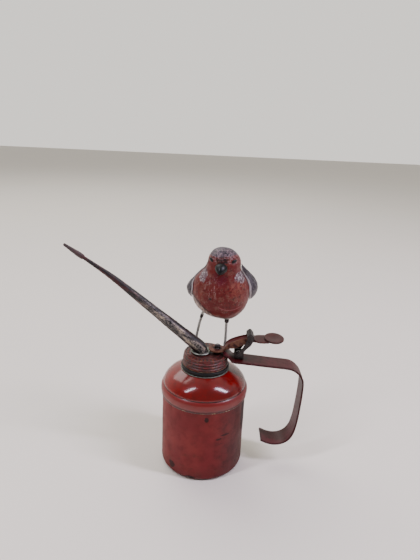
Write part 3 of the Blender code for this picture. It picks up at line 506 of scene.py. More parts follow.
def ease(value, low, high):
    """0 at low and 1 at high, with a soft step between. Low may be the larger."""
    t = min(max((value - low) / (high - low), 0.0), 1.0)
    return t * t * (3 - 2 * t)


def placed(name, data):
    """New object in the scene."""
    obj = bpy.data.objects.new(name, data)
    bpy.context.scene.collection.objects.link(obj)
    return obj


def note_edges(mesh, width=1.0, passes=3):
    """Stores how far each point stands out from those round it: 1 on edges, 0.5 on flats and 0 in
    hollows. A greater width in millimetres also counts gentler edges."""
    count = len(mesh.vertices)
    place = np.zeros(count * 3)
    mesh.vertices.foreach_get("co", place)
    place = place.reshape(-1, 3) / MM
    normal = np.zeros(count * 3)
    mesh.vertex_normals.foreach_get("vector", normal)
    normal = normal.reshape(-1, 3)
    ends = np.zeros(len(mesh.edges) * 2, dtype=np.int64)
    mesh.edges.foreach_get("vertices", ends)
    a, b = ends.reshape(-1, 2).T
    run = place[b] - place[a]
    square = np.maximum((run * run).sum(1), 1e-9)
    bulge = np.zeros(count)
    share = np.zeros(count)
    np.add.at(bulge, a, -(normal[a] * run).sum(1) / square)
    np.add.at(bulge, b, (normal[b] * run).sum(1) / square)
    np.add.at(share, a, 1)
    np.add.at(share, b, 1)
    share = np.maximum(share, 1)
    bulge /= share
    for _ in range(passes):
        near = np.zeros(count)
        np.add.at(near, a, bulge[b])
        np.add.at(near, b, bulge[a])
        bulge = 0.5 * bulge + 0.5 * near / share
    value = np.clip(0.5 + bulge * width, 0, 1).astype(np.float32)
    mesh.attributes.new("edge", "FLOAT", "POINT").data.foreach_set("value", value)


def piece(name, bm, finish, node=None, body=None, slot=None, sharp=40.0, **notes):
    """Makes a shown piece from a mesh in millimetres. It stands for a CAD node and rides with it,
    or stands for none and is given its body. Its slot is not used."""
    bmesh.ops.remove_doubles(bm, verts=bm.verts, dist=1e-4)
    bmesh.ops.recalc_face_normals(bm, faces=bm.faces)
    bmesh.ops.scale(bm, verts=bm.verts, vec=(MM, MM, MM))
    mesh = bpy.data.meshes.new(name)
    bm.to_mesh(mesh)
    bm.free()
    mesh.polygons.foreach_set("use_smooth", [True] * len(mesh.polygons))
    mesh.set_sharp_from_angle(angle=math.radians(sharp))
    mesh.materials.append(finish)
    note_edges(mesh, **notes)
    obj = placed(name, mesh)
    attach(obj, body or body_of(NODES[node])[0])
    if node:
        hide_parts(node)


def rounded(outline, closed, parts=4):
    """Line through (u, v, rounding) corners, each turned into a short curve."""
    line = []
    last = len(outline) - 1
    for i, (u, v, radius) in enumerate(outline):
        here = Vector((u, v))
        if radius == 0 or (not closed and i in (0, last)):
            line.append(here)
            continue
        back = Vector(outline[i - 1][:2]) - here
        ahead = Vector(outline[(i + 1) % len(outline)][:2]) - here
        start = here + back.normalized() * min(radius, back.length * 0.45)
        end = here + ahead.normalized() * min(radius, ahead.length * 0.45)
        for k in range(parts + 1):
            t = k / parts
            line.append((1 - t) ** 2 * start + 2 * t * (1 - t) * here + t * t * end)
    return line


def turned(outline, centre=(0.0, 0.0), steps=128, longest=4.0):
    """Mesh spun about an upright axis from (radius, height, rounding) corners."""
    closed = outline[0][0] > 0
    line = rounded(outline, closed)
    cx, cy = centre
    bm = bmesh.new()
    points = [bm.verts.new((cx + p.x, cy, p.y)) for p in line]
    pairs = list(zip(points, points[1:])) + ([(points[-1], points[0])] if closed else [])
    edges = [bm.edges.new(pair) for pair in pairs]
    for edge in edges:
        cuts = int(edge.calc_length() / longest)
        if cuts:
            bmesh.ops.subdivide_edges(bm, edges=[edge], cuts=cuts)
    bmesh.ops.spin(bm, geom=bm.verts[:] + bm.edges[:], cent=(cx, cy, 0), axis=(0, 0, 1),
                   angle=2 * math.pi, steps=steps, use_merge=True)
    return bm


def facing(point, ahead, across=(0, 1, 0)):
    """Matrix that sets a flat ring square to a direction at a point."""
    ahead = Vector(ahead).normalized()
    side = (Vector(across) - ahead * ahead.dot(Vector(across))).normalized()
    up = ahead.cross(side)
    turn = Matrix((side, up, ahead)).transposed().to_4x4()
    return Matrix.Translation(point) @ turn


def drawn_out(stations, sides=32):
    """Tube skin: a ring of edges extruded through (matrix, radius across, radius up) stations.
    It is a closed ring of stations if the first one comes again last."""
    bm = bmesh.new()
    ring = bmesh.ops.create_circle(bm, segments=sides, radius=1.0)["verts"]
    edges = bm.edges[:]
    forms = [m @ Matrix.Diagonal((a, b, 1.0, 1.0)) for m, a, b in stations]
    bmesh.ops.transform(bm, matrix=forms[0], verts=ring)
    for before, after in zip(forms, forms[1:]):
        made = bmesh.ops.extrude_edge_only(bm, edges=edges)["geom"]
        edges = [g for g in made if isinstance(g, bmesh.types.BMEdge)]
        moved = [g for g in made if isinstance(g, bmesh.types.BMVert)]
        bmesh.ops.transform(bm, matrix=after @ before.inverted(), verts=moved)
    return bm


def smooth_line(points, step):
    """Catmull-Rom curve through points, in steps of about one length."""
    pts = [Vector(p) for p in points]
    full = [2 * pts[0] - pts[1], *pts, 2 * pts[-1] - pts[-2]]
    line = []
    for p0, p1, p2, p3 in zip(full, full[1:], full[2:], full[3:]):
        parts = max(1, round((p2 - p1).length / step))
        for k in range(parts):
            t = k / parts
            line.append(0.5 * (2 * p1 + (p2 - p0) * t + (2 * p0 - 5 * p1 + 4 * p2 - p3) * t * t
                               + (3 * p1 - p0 - 3 * p2 + p3) * t ** 3))
    return line + [pts[-1]]


def applied(obj):
    """Mesh of an object with its modifiers, as a bmesh, and the object is removed."""
    bpy.context.view_layer.update()
    graph = bpy.context.evaluated_depsgraph_get()
    bm = bmesh.new()
    bm.from_mesh(obj.evaluated_get(graph).data)
    bpy.data.objects.remove(obj)
    return bm


def as_object(bm):
    mesh = bpy.data.meshes.new("blank")
    bm.to_mesh(mesh)
    bm.free()
    return placed("blank", mesh)


def drilled(bm, *cutters):
    """Takes each cutter's mesh out of a mesh."""
    blank = as_object(bm)
    tools = [as_object(cutter) for cutter in cutters]
    for tool in tools:
        hole = blank.modifiers.new("hole", "BOOLEAN")
        hole.operation, hole.solver, hole.object = "DIFFERENCE", "EXACT", tool
    made = applied(blank)
    for tool in tools:
        bpy.data.objects.remove(tool)
    return made


def rod(radius, low, high, at, steps):
    """Upright rod between two heights, to cut a hole with."""
    return turned([(0, low, 0), (radius, low, 0), (radius, high, 0), (0, high, 0)], at, steps)


def pressed(node, voxel, rounds):
    """Copy of a CAD node as one fine skin in millimetres, with its edges softened."""
    bm = bmesh.new()
    bm.from_mesh(NODES[node].data)
    bmesh.ops.scale(bm, verts=bm.verts, vec=(1 / MM, 1 / MM, 1 / MM))
    bmesh.ops.remove_doubles(bm, verts=bm.verts, dist=1e-3)
    blank = as_object(bm)
    skin = blank.modifiers.new("skin", "REMESH")
    skin.mode, skin.voxel_size = "VOXEL", voxel
    bm = applied(blank)
    for _ in range(rounds):
        bmesh.ops.smooth_vert(bm, verts=bm.verts, factor=0.5, use_axis_x=True, use_axis_y=True,
                              use_axis_z=True)
    return bm


def ball(centre, half, turn=(0.0, 0.0, 0.0), sides=(28, 18)):
    """Ellipsoid with half sizes, turned about its own middle."""
    bm = bmesh.new()
    bmesh.ops.create_uvsphere(bm, u_segments=sides[0], v_segments=sides[1], radius=1.0)
    turned_by = Matrix.Rotation(turn[2], 4, "Z") @ Matrix.Rotation(turn[1], 4, "Y")
    turned_by = turned_by @ Matrix.Rotation(turn[0], 4, "X")
    form = Matrix.Translation(centre) @ turned_by @ Matrix.Diagonal((*half, 1.0))
    bmesh.ops.transform(bm, matrix=form, verts=bm.verts)
    return bm


# ---- the can


def make_wall():
    bm = turned([(0, 0, 0), (27.0, 0, 0.4), (28.0, 0.5, 0.4), (31.0, 0.5, 0.4), (32.0, 0, 0.4),
                 (35.2, 0, 1.2), (37.5, 2.6, 2.4), (37.5, 73.2, 0.1), (36.7, 73.2, 0.1),
                 (36.7, 3.4, 1.4), (34.8, 1.2, 0.8), (0, 1.2, 0)], longest=3.0, steps=144)
    for v in bm.verts:
        out = Vector((v.co.x, v.co.y, 0))
        if out.length > 36.0 and 4.0 < v.co.z < 72.0:
            # the drawn wall has gone a little out of true with use
            dent = 0.16 * noise.noise(v.co / 17.0) + 0.05 * noise.noise(v.co / 5.0)
            v.co += out.normalized() * (dent - 0.08)
    piece("can_wall", bm, CAN_PAINT, "can_body")


def make_dome():
    bm = turned([(37.8, 68.8, 0.2), (38.3, 69.0, 0.2), (38.45, 69.9, 0.3), (38.2, 70.5, 0.3),
                 (38.8, 72.4, 1.0), (38.9, 74.6, 1.2), (38.6, 76.8, 1.0), (37.5, 78.6, 0.5),
                 (36.75, 79.3, 0.25), (37.0, 80.0, 0.35), (36.6, 81.6, 1.0), (34.3, 85.2, 2.0),
                 (31.0, 88.15, 2.0), (26.8, 90.7, 2.0), (23.2, 92.4, 0.8), (21.9, 93.0, 0.5),
                 (18.0, 93.0, 0.1), (18.0, 92.2, 0), (22.3, 91.9, 0.5), (29.2, 88.1, 2.0),
                 (34.2, 83.3, 1.0), (35.8, 79.8, 0.5), (36.1, 78.6, 0.3), (37.2, 76.6, 0.5),
                 (37.8, 74.8, 0.3)], steps=144, longest=1.6)
    for v in bm.verts:
        v.co += v.co.normalized() * 0.07 * noise.noise(v.co / 9.0)
    piece("domed_shoulder", bm, DOME_PAINT, "can_shoulder", width=0.6)


def make_neck():
    bm = turned([(16.4, 91.5, 0), (17.4, 91.5, 0), (17.4, 93.3, 0), (21.7, 93.3, 0.25),
                 (21.7, 94.0, 0.25), (17.4, 94.0, 0), (17.4, 97.9, 0), (17.9, 98.4, 0.2),
                 (17.9, 98.9, 0.2), (17.4, 99.4, 0), (17.4, 100.4, 0), (17.9, 100.9, 0.2),
                 (17.9, 101.4, 0.2), (17.4, 101.9, 0), (17.4, 103.6, 0.2), (17.1, 104.0, 0.2),
                 (16.4, 104.0, 0)], steps=112)
    piece("threaded_neck", bm, TIN, "neck_ring")


def make_washer():
    bm = turned([(18.3, 94.3, 0), (20.9, 94.3, 0.2), (21.45, 94.9, 0.4), (21.5, 95.9, 0.5),
                 (21.25, 96.9, 0.4), (20.7, 97.3, 0.2), (18.3, 97.3, 0)], steps=112)
    piece("rubber_washer", bm, RUBBER, "neck_washer")


# ---- the screw cap and what is fixed in it


def make_cap():
    side = [(19.35, 106.3, 0.3)]
    # three broad rolls of thread with a fine groove between each pair
    for k in range(3):
        top = 105.0 - 2.45 * k
        grow = 0.22 * k
        side += [(18.95 + grow, top, 0.25), (19.75 + grow, top - 0.55, 0.3),
                 (19.8 + grow, top - 1.25, 0.3), (18.95 + grow, top - 1.75, 0.25)]
    bm = turned([(0, 107.3, 0), (12.4, 107.3, 0.3), (12.8, 107.45, 0.2), (13.4, 107.45, 0.2),
                 (13.8, 107.2, 0.2), (17.6, 107.2, 0.3), (18.1, 107.6, 0.2), (18.7, 107.5, 0.4),
                 *side, (20.3, 97.9, 0.2), (20.1, 97.6, 0.2), (18.5, 97.6, 0), (18.5, 105.0, 0.8),
                 (17.0, 106.4, 0.4), (0, 106.4, 0)], steps=128, longest=1.4)
    holes = [rod(radius, 103, 110, at, 40)
             for radius, at in ((6.2, (SPOUT_X, 0.0)), (4.9, (PUMP_X, 0.0)), (1.15, RIVETS[0]),
                                (1.15, RIVETS[1]))]
    piece("crown_cap", drilled(bm, *holes), CAP_PAINT, "screw_cap", width=0.35)


def cap_studs():
    """Plain raised studs round the cap's face, worn nearly flat. None stands under the strap's
    root or the bird's left foot."""
    count, ring, level = 30, 15.7, 107.15
    bm = bmesh.new()
    for k in range(count):
        a = 2 * math.pi * (k + 0.5) / count
        at = Vector((ring * math.cos(a), ring * math.sin(a), level))
        under_strap = at.x > 11.5 or (at.xy - Vector(RIVETS[0])).length < 3.4
        under_foot = (at.xy - Vector(HIPS["left"][0][:2])).length < 3.2
        if under_strap or under_foot:
            continue
        high = 0.34 + 0.08 * math.sin(k * 2.7)
        made = bmesh.ops.create_cube(bm, size=1.0)["verts"]
        form = (Matrix.Translation(at) @ Matrix.Rotation(a, 4, "Z")
                @ Matrix.Diagonal((2.5, 1.5, high * 2, 1.0)))
        bmesh.ops.transform(bm, matrix=form, verts=made)
    bmesh.ops.bevel(bm, geom=bm.edges[:], offset=0.3, segments=3, affect="EDGES", profile=0.5,
                    material=-1)
    return bm


def make_cap_fittings():
    piece("cap_studs", cap_studs(), CAP_PAINT, body="cap", slot="cap_paint")
    bm = turned([(6.3, 107.95, 0), (8.5, 107.95, 0.2), (8.85, 108.3, 0.3), (8.5, 108.9, 0.4),
                 (7.9, 109.15, 0.4), (6.9, 108.85, 0.3), (6.3, 108.4, 0.1)], (SPOUT_X, 0.0), 64)
    piece("spout_ring", bm, TIN, "spout_collar")


# ---- spout

KNEE = Vector((SPOUT_X, 0.0, 111.2))
LOWER_SLOPE, TIP_SLOPE = math.radians(38.9), math.radians(33.8)
DROOP = (90.0, 108.0)  # distance along the spout over which it bends
SPOUT_WALL = 0.55
# distance from the knee, outer radius
SPOUT_RADII = ((-8.0, 5.85), (-4.0, 5.9), (6.0, 5.75), (14.0, 5.45), (48.0, 4.2), (81.0, 3.2),
               (96.0, 2.6), (108.0, 2.1), (113.0, 1.9), (125.0, 1.5), (132.5, 1.35))
NOZZLE = ((127.5, 1.85, 1.65), (127.7, 1.98, 1.65), (128.5, 2.12, 1.65), (131.0, 2.26, 1.65),
          (133.7, 2.27, 1.65), (134.4, 2.2, 1.2), (134.8, 2.05, 0.9), (137.5, 1.85, 0.85),
          (140.5, 1.6, 0.75), (143.5, 1.38, 0.65), (146.1, 1.15, 0.55), (146.6, 1.02, 0.55),
          (146.7, 0.85, 0.55))


def spout_axis(distance):
    """Point and direction of the spout's axis: upright root, knee, long run, droop, tip."""
    start, end = DROOP
    step = 0.5
    soft = 3.4  # half the length of the knee's curve
    if distance < -soft:
        return KNEE + Vector((0, 0, distance)), Vector((0, 0, 1))
    run = Vector((-math.cos(LOWER_SLOPE), 0, math.sin(LOWER_SLOPE)))
    if distance < soft:
        t = (distance + soft) / (2 * soft)
        low, high = KNEE - Vector((0, 0, soft)), KNEE + run * soft
        point = (1 - t) ** 2 * low + 2 * t * (1 - t) * KNEE + t * t * high
        return point, (KNEE - low).lerp(high - KNEE, t)
    point = KNEE + run * min(distance, start)
    ahead, at = run, start
    while at < distance:
        share = min(max((at - start) / (end - start), 0.0), 1.0)
        a = LOWER_SLOPE + (TIP_SLOPE - LOWER_SLOPE) * share
        ahead = Vector((-math.cos(a), 0, math.sin(a)))
        point = point + ahead * min(step, distance - at)
        at += step
    return point, ahead


def radius_at(table, distance, column=1):
    """Number in a column of a table of rows by distance, read between its rows."""
    for low, high in zip(table, table[1:]):
        if distance <= high[0]:
            t = max((distance - low[0]) / (high[0] - low[0]), 0.0)
            return low[column] + (high[column] - low[column]) * t
    return table[-1][column]


def tube_stations(distances, outer, inner):
    """Stations of a closed wall: out along the outside and back down the bore."""
    out = [(facing(*spout_axis(s)), outer(s), outer(s)) for s in distances]
    back = [(facing(*spout_axis(s)), inner(s), inner(s)) for s in reversed(distances)]
    return out + back + [out[0]]


def make_spout():
    # close rings round the knee, wider apart along the straight
    start, end = SPOUT_RADII[0][0], SPOUT_RADII[-1][0]
    reach = [start + 0.7 * k for k in range(30)] + [13.0 + 1.5 * k for k in range(80)]
    reach = [s for s in reach if s < end - 0.1] + [end]

    def outer(s):
        # drawn by hand over a mandrel, so it isn't quite even
        return radius_at(SPOUT_RADII, s) * (1 + 0.012 * math.sin(s * 0.21) + 0.008 * math.sin(s))

    bm = drawn_out(tube_stations(reach, outer,
                                 lambda s: max(radius_at(SPOUT_RADII, s) - SPOUT_WALL, 0.8)), 48)
    piece("long_spout", bm, SPOUT_IRON, "spout")
    stops = [s for s, _, _ in NOZZLE]
    bm = drawn_out(tube_stations(stops, lambda s: radius_at(NOZZLE, s),
                                 lambda s: radius_at(NOZZLE, s, 2)), 32)
    piece("nozzle", bm, SPOUT_IRON, "nozzle_tip", sharp=50.0)


# ---- strap handle

STRAP_HALF, STRAP_T = 9.3, 1.6
# outer face of the strap, from its root on the cap to the tip of the hook (x, z)
STRAP_LINE = ((15.6, 109.5), (18.2, 109.4), (20.0, 108.5), (22.0, 106.2), (24.0, 104.0),
              (26.4, 103.3), (30.0, 103.1), (40.0, 102.35), (52.0, 101.4), (64.0, 100.4),
              (73.0, 99.6), (77.5, 98.5), (81.3, 96.2), (84.6, 93.0), (86.9, 89.2), (88.0, 85.0),
              (88.25, 78.0), (88.0, 68.0), (87.3, 57.0), (86.5, 46.5), (85.2, 37.5), (83.3, 30.6),
              (80.2, 25.4), (76.0, 21.9), (71.2, 20.1), (66.0, 19.7), (61.0, 20.5), (57.2, 21.9),
              (54.2, 23.4))


def make_strap():
    line = smooth_line([(x, 0.0, z) for x, z in STRAP_LINE], 1.3)
    # section across the strap: (side, depth below the outer face, rounding)
    section = rounded([(STRAP_HALF, 0.0, 0.5), (-STRAP_HALF, 0.0, 0.5),
                       (-STRAP_HALF, -STRAP_T, 0.4), (STRAP_HALF, -STRAP_T, 0.4)], True, 3)
    bm = bmesh.new()
    first = [bm.verts.new((p.x, p.y, 0.0)) for p in section]
    bm.faces.new(first)
    bmesh.ops.subdivide_edges(bm, edges=[e for e in bm.edges if e.calc_length() > 5], cuts=12)
    face = bm.faces[:]
    forms = []
    for i, p in enumerate(line):
        ahead = line[min(i + 1, len(line) - 1)] - line[max(i - 1, 0)]
        ahead.normalize()
        out = Vector((-ahead.z, 0, ahead.x))
        turn = Matrix((Vector((0, 1, 0)), out, -ahead)).transposed().to_4x4()
        forms.append(Matrix.Translation(p) @ turn)
    bmesh.ops.transform(bm, matrix=forms[0], verts=bm.verts)
    for before, after in zip(forms, forms[1:]):
        made = bmesh.ops.extrude_face_region(bm, geom=face, use_keep_orig=before is forms[0])
        face = [g for g in made["geom"] if isinstance(g, bmesh.types.BMFace)]
        moved = [g for g in made["geom"] if isinstance(g, bmesh.types.BMVert)]
        bmesh.ops.transform(bm, matrix=after @ before.inverted(), verts=moved)
    for v in bm.verts:
        v.co += Vector((0.10, 0.22, 0.10)) * noise.noise(v.co / 13.0)
    holes = [rod(5.4, 104, 113, (PUMP_X, 0.0), 40), *(rod(1.1, 104, 113, at, 20) for at in RIVETS)]
    piece("strap_handle", drilled(bm, *holes), STRAP_PAINT, "handle_strap", width=0.8)


# ---- pressed and turned fittings

# new piece, CAD node, finish, voxel size, smoothing rounds
PRESSED = (
    ("rocking_lever", "thumb_lever", LEVER_PAINT, 0.24, 7),
    ("lever_stirrup", "fulcrum_link", DARK_IRON, 0.2, 6),
    ("stirrup_bracket", "fulcrum_bracket", DARK_IRON, 0.2, 5),
    ("lower_pivot", "link_lower_pin", DARK_IRON, 0.15, 4),
    ("upper_pivot", "link_upper_pin", DARK_IRON, 0.15, 4),
    ("root_rivet_a", "strap_rivet_1", STRAP_PAINT, 0.14, 4),
    ("root_rivet_b", "strap_rivet_2", STRAP_PAINT, 0.14, 4),
    ("bracket_rivet_a", "bracket_rivet_1", DARK_IRON, 0.14, 4),
    ("bracket_rivet_b", "bracket_rivet_2", DARK_IRON, 0.14, 4),
    ("rod_nut", "plunger_nut", DARK_IRON, 0.14, 5),
    ("pump_rod", "plunger_rod", STEEL, 0.16, 3),
    ("gland_hexagon", "gland_nut", DARK_IRON, 0.18, 3),
)


def hollow_lever(bm):
    """Sinks the lever's arch to a trough between two raised sides, and dishes its pad."""
    pad_x, pad_radius, pad_stretch = 59.3, 7.4, 1.22
    for v in bm.verts:
        x, y, _ = v.co
        trough = ease(x, 15.0, 17.5) * ease(x, 42.0, 39.5) * ease(abs(y), 3.7, 2.3)
        dish = ease(math.hypot(x - pad_x, y / pad_stretch), pad_radius, 1.0)
        v.co.z -= 1.0 * trough + 0.45 * dish


def make_fittings():
    for name, node, finish, voxel, rounds in PRESSED:
        bm = pressed(node, voxel, rounds)
        if node == "thumb_lever":
            hollow_lever(bm)
        piece(name, bm, finish, node, sharp=75.0, width=0.7)


def finish_inner_parts():
    """The pump's own parts keep their CAD shapes and get a finish."""
    inner = {
        BRASS: ("pump_head", "pump_barrel", "foot_valve_body", "valve_cage", "suction_tube",
                "suction_strainer", "piston_head", "piston_nut"),
        LEATHER: ("gland_packing", "cup_leather"),
        STEEL: ("valve_ball", "return_spring"),
    }
    for finish, names in inner.items():
        for name in names:
            mesh = NODES[name].data
            mesh.materials.clear()
            mesh.materials.append(finish)
            note_edges(mesh)


# ---- bird

# height, middle (x, y), half width across, half length front to back; the ends are its poles
BIRD_FORM = ((136.2, 17.4, 14.0, 0.0, 0.0), (136.5, 17.3, 14.0, 3.2, 4.0),
             (137.4, 16.4, 14.1, 7.2, 8.6), (138.9, 14.6, 14.4, 11.4, 12.6),
             (141.2, 12.9, 15.0, 15.9, 16.7), (144.6, 11.7, 15.6, 20.0, 20.6),
             (149.0, 11.2, 16.2, 23.2, 24.0), (155.0, 11.0, 16.6, 25.0, 25.8),
             (161.0, 11.0, 16.4, 25.5, 26.0), (167.0, 11.0, 15.6, 24.7, 24.5),
             (172.5, 10.8, 14.4, 22.3, 21.7), (177.0, 11.0, 12.8, 18.8, 18.5),
             (181.0, 11.8, 11.2, 15.7, 15.9), (185.0, 12.3, 10.0, 14.4, 14.7),
             (189.0, 12.5, 9.4, 14.1, 14.1), (193.0, 12.3, 9.2, 13.0, 12.9),
             (196.6, 11.9, 9.2, 10.7, 10.7), (199.2, 11.6, 9.2, 7.4, 7.4),
             (200.5, 11.5, 9.2, 3.8, 3.8), (200.9, 11.5, 9.2, 0.0, 0.0))
FACE = math.radians(-10.7)  # the head looks a little to its right


def bird_level(t):
    """Height, middle and half sizes at a share of the way from the lower to the upper pole."""
    last = len(BIRD_FORM) - 1
    spot = min(max(t * last, 0.0), last - 1e-6)
    i = int(spot)
    u = spot - i
    p0, p1, p2, p3 = (np.array(BIRD_FORM[min(max(k, 0), last)]) for k in range(i - 1, i + 3))
    return 0.5 * (2 * p1 + (p2 - p0) * u + (2 * p0 - 5 * p1 + 4 * p2 - p3) * u * u
                  + (3 * p1 - p0 - 3 * p2 + p3) * u ** 3)


def hump(point, centre, half, height):
    """Height of a soft hump round a centre, with its own half sizes."""
    away = sum(((p - c) / h) ** 2 for p, c, h in zip(point, centre, half))
    return height * math.exp(-away)


def body_ring(height):
    """Middle and half sizes of the bird's body at a height."""
    i = max(k for k, row in enumerate(BIRD_FORM[:-1]) if row[0] <= height)
    low, high = BIRD_FORM[i], BIRD_FORM[i + 1]
    t = (height - low[0]) / (high[0] - low[0])
    return [a + (b - a) * t for a, b in zip(low[1:], high[1:])]


def on_head(turn, height, out):
    """Point off the head's surface, at a turn from where it faces."""
    cx, cy, rx, ry = body_ring(height)
    a = FACE + turn
    return Vector((cx + (rx + out) * math.sin(a), cy - (ry + out) * math.cos(a), height))


# foot and hip of each leg
HIPS = {"left": ((-11.4, 9.6, 107.6), (-3.5, 9.6, 144.4)),
        "right": ((16.5, 7.0, 109.6), (17.8, 9.6, 139.4))}
LEG_R = 1.2
SLEEVES = {"left": (32.6, 0.75), "right": (26.2, 1.0)}  # top's distance up the leg, width


def make_leg(word):
    foot, hip = (Vector(end) for end in HIPS[word])
    up = (hip - foot).normalized()

    def ringed(rows, sides):
        # above its pad the wire is bent a little by hand
        sway = [Vector((0.25 * math.sin(d * 0.2), 0, 0)) if d > 2 else Vector() for d, _ in rows]
        return drawn_out([(facing(foot + up * d + bend, up, (1, 0, 0)), r, r)
                          for (d, r), bend in zip(rows, sway)], sides)

    # distance up the leg, radius: a solder pad, then wire
    reach = (hip - foot).length - 0.3
    wire = [(0.15, 0.02), (0.16, 1.9), (0.45, 2.0), (0.7, 1.7), (0.95, 1.15), (1.6, LEG_R)]
    wire += [(2.0 + (reach - 2.2) * k / 24, LEG_R) for k in range(25)]
    wire += [(reach, LEG_R * 0.9), (reach + 0.02, 0.02)]
    piece(word + "_leg", ringed(wire, 20), WIRE, "bird_leg_" + word, sharp=60.0)

    top, wide = SLEEVES[word]
    bore = LEG_R + 0.02
    sleeve = [(top - 3.2, bore), (top - 3.2, 1.5 * wide), (top - 2.7, 1.9 * wide),
              (top - 1.4, 2.05 * wide), (top - 0.5, 2.1 * wide), (top, 1.8 * wide), (top, bore),
              (top - 1.6, bore), (top - 3.2, bore)]
    piece(word + "_leg_sleeve", ringed(sleeve, 24), DARK_IRON, "leg_collar_" + word)


EYE_TURN, EYE_LEVEL = math.radians(46), 191.6


def sculpt_bird(bm):
    """Brows, cheeks, eye hollows, rump and a hand-worked skin."""
    brows = [on_head(math.radians(side * 40), 194.3, 0.0) for side in (-1, 1)]
    cheeks = [on_head(math.radians(side * 52), 187.0, 0.0) for side in (-1, 1)]
    eyes = [on_head(side * EYE_TURN, EYE_LEVEL, 0.0) for side in (-1, 1)]
    # middle, half sizes, height
    humps = [(c, (4.2, 4.2, 1.7), 0.9) for c in brows]
    humps += [(c, (4.6, 4.6, 4.0), 0.7) for c in cheeks]
    humps += [(c, (2.4, 2.4, 1.7), -0.8) for c in eyes]
    humps += [(on_head(0.0, 192.0, 0.0), (3.2, 4.0, 3.4), 0.7),
              ((10.9, 40.5, 152.5), (8.0, 6.0, 6.0), 2.2),
              ((11.0, -8.0, 158.0), (3.0, 8.0, 14.0), 0.35)]
    bm.normal_update()
    moves = []
    for v in bm.verts:
        rise = sum(hump(v.co, *row) for row in humps)
        rise += 0.32 * noise.noise(v.co / 7.0) + 0.14 * noise.noise(v.co / 2.4)
        moves.append(v.normal * rise)
    for v, move in zip(bm.verts, moves):
        v.co += move


def leg_hole(foot, hip):
    """Rod to cut one leg's hole with."""
    ends = [facing(Vector(end), Vector(hip) - Vector(foot)) for end in (foot, hip)]
    point, radius = 0.01, 1.4
    bm = drawn_out([(ends[0], point, point), (ends[0], radius, radius),
                    (ends[1], radius, radius), (ends[1], point, point)], 16)
    bmesh.ops.remove_doubles(bm, verts=bm.verts, dist=0.05)
    bmesh.ops.holes_fill(bm, edges=bm.edges)
    bmesh.ops.recalc_face_normals(bm, faces=bm.faces)
    return bm


def make_bird():
    bm = bmesh.new()
    bmesh.ops.create_uvsphere(bm, u_segments=120, v_segments=88, radius=1.0)
    for v in bm.verts:
        lat = math.acos(max(-1.0, min(1.0, -v.co.z))) / math.pi
        lon = math.atan2(v.co.y, v.co.x)
        z, cx, cy, rx, ry = bird_level(lat)
        rx, ry = max(rx, 0.0), max(ry, 0.0)
        v.co = Vector((cx + rx * math.cos(lon), cy + ry * math.sin(lon), z))
    sculpt_bird(bm)
    bm = drilled(bm, *(leg_hole(*ends) for ends in HIPS.values()))
    piece("painted_bird", bm, BIRD_PAINT, "bird_body", sharp=80.0, width=2.0)


# distance along the beak, half width, half height
BEAK = ((-0.3, 0.02, 0.02), (-0.28, 3.0, 3.0), (0.0, 5.0, 3.9), (1.2, 5.3, 4.2), (2.6, 5.1, 4.1),
        (4.2, 4.4, 3.7), (5.8, 3.5, 3.1), (7.2, 2.5, 2.4), (8.2, 1.5, 1.6), (8.7, 0.7, 0.8),
        (8.85, 0.02, 0.02))


def make_face():
    base = on_head(0.0, 186.8, -0.8)
    ahead = Vector((math.sin(FACE), -math.cos(FACE), -0.22)).normalized()
    bm = drawn_out([(facing(base + ahead * d - Vector((0, 0, 0.012 * d * d)), ahead, (1, 0, 0)),
                     wide, high) for d, wide, high in BEAK], 40)
    for v in bm.verts:
        # a groove between the two halves of the beak
        local = facing(base, ahead, (1, 0, 0)).inverted() @ v.co
        v.co -= (v.co - base - ahead * local.z) * 0.09 * math.exp(-((local.y + 0.3) / 0.35) ** 2)
    piece("blunt_beak", bm, ENAMEL, "bird_beak", sharp=60.0)
    for word, side in (("right", 1), ("left", -1)):
        turn = side * EYE_TURN
        at = on_head(turn, EYE_LEVEL, -0.55)
        bm = ball(at, (3.2, 1.2, 1.6), (0.0, side * math.radians(-20), FACE + turn))
        piece(word + "_eye", bm, ENAMEL, "bird_eye_" + word)


# share of the way down the wing, height, turn from the bird's side of the front and the back edge
WING_ROWS = ((0.0, 187.0, -9, 8), (0.12, 183.3, -8, 24), (0.35, 176.2, -5, 42),
             (0.55, 170.0, -12, 52), (0.72, 163.9, -18, 60), (0.88, 157.8, -14, 66),
             (1.0, 153.2, -4, 60))


def two_skins(columns, rows):
    """Closed plate of two grids: x and y run from -1 to 1, and z is 0 outside and 1 inside."""
    bm = bmesh.new()
    bmesh.ops.create_grid(bm, x_segments=columns, y_segments=rows, size=1.0)
    made = bmesh.ops.extrude_face_region(bm, geom=bm.faces[:], use_keep_orig=True)["geom"]
    inner = [g for g in made if isinstance(g, bmesh.types.BMVert)]
    bmesh.ops.translate(bm, verts=inner, vec=(0, 0, 1))
    return bm


def vane(lane, width=0.12):
    """1 in the narrow groove between two feathers, which lie a whole number apart."""
    return math.exp(-((lane - round(lane)) / width) ** 2)


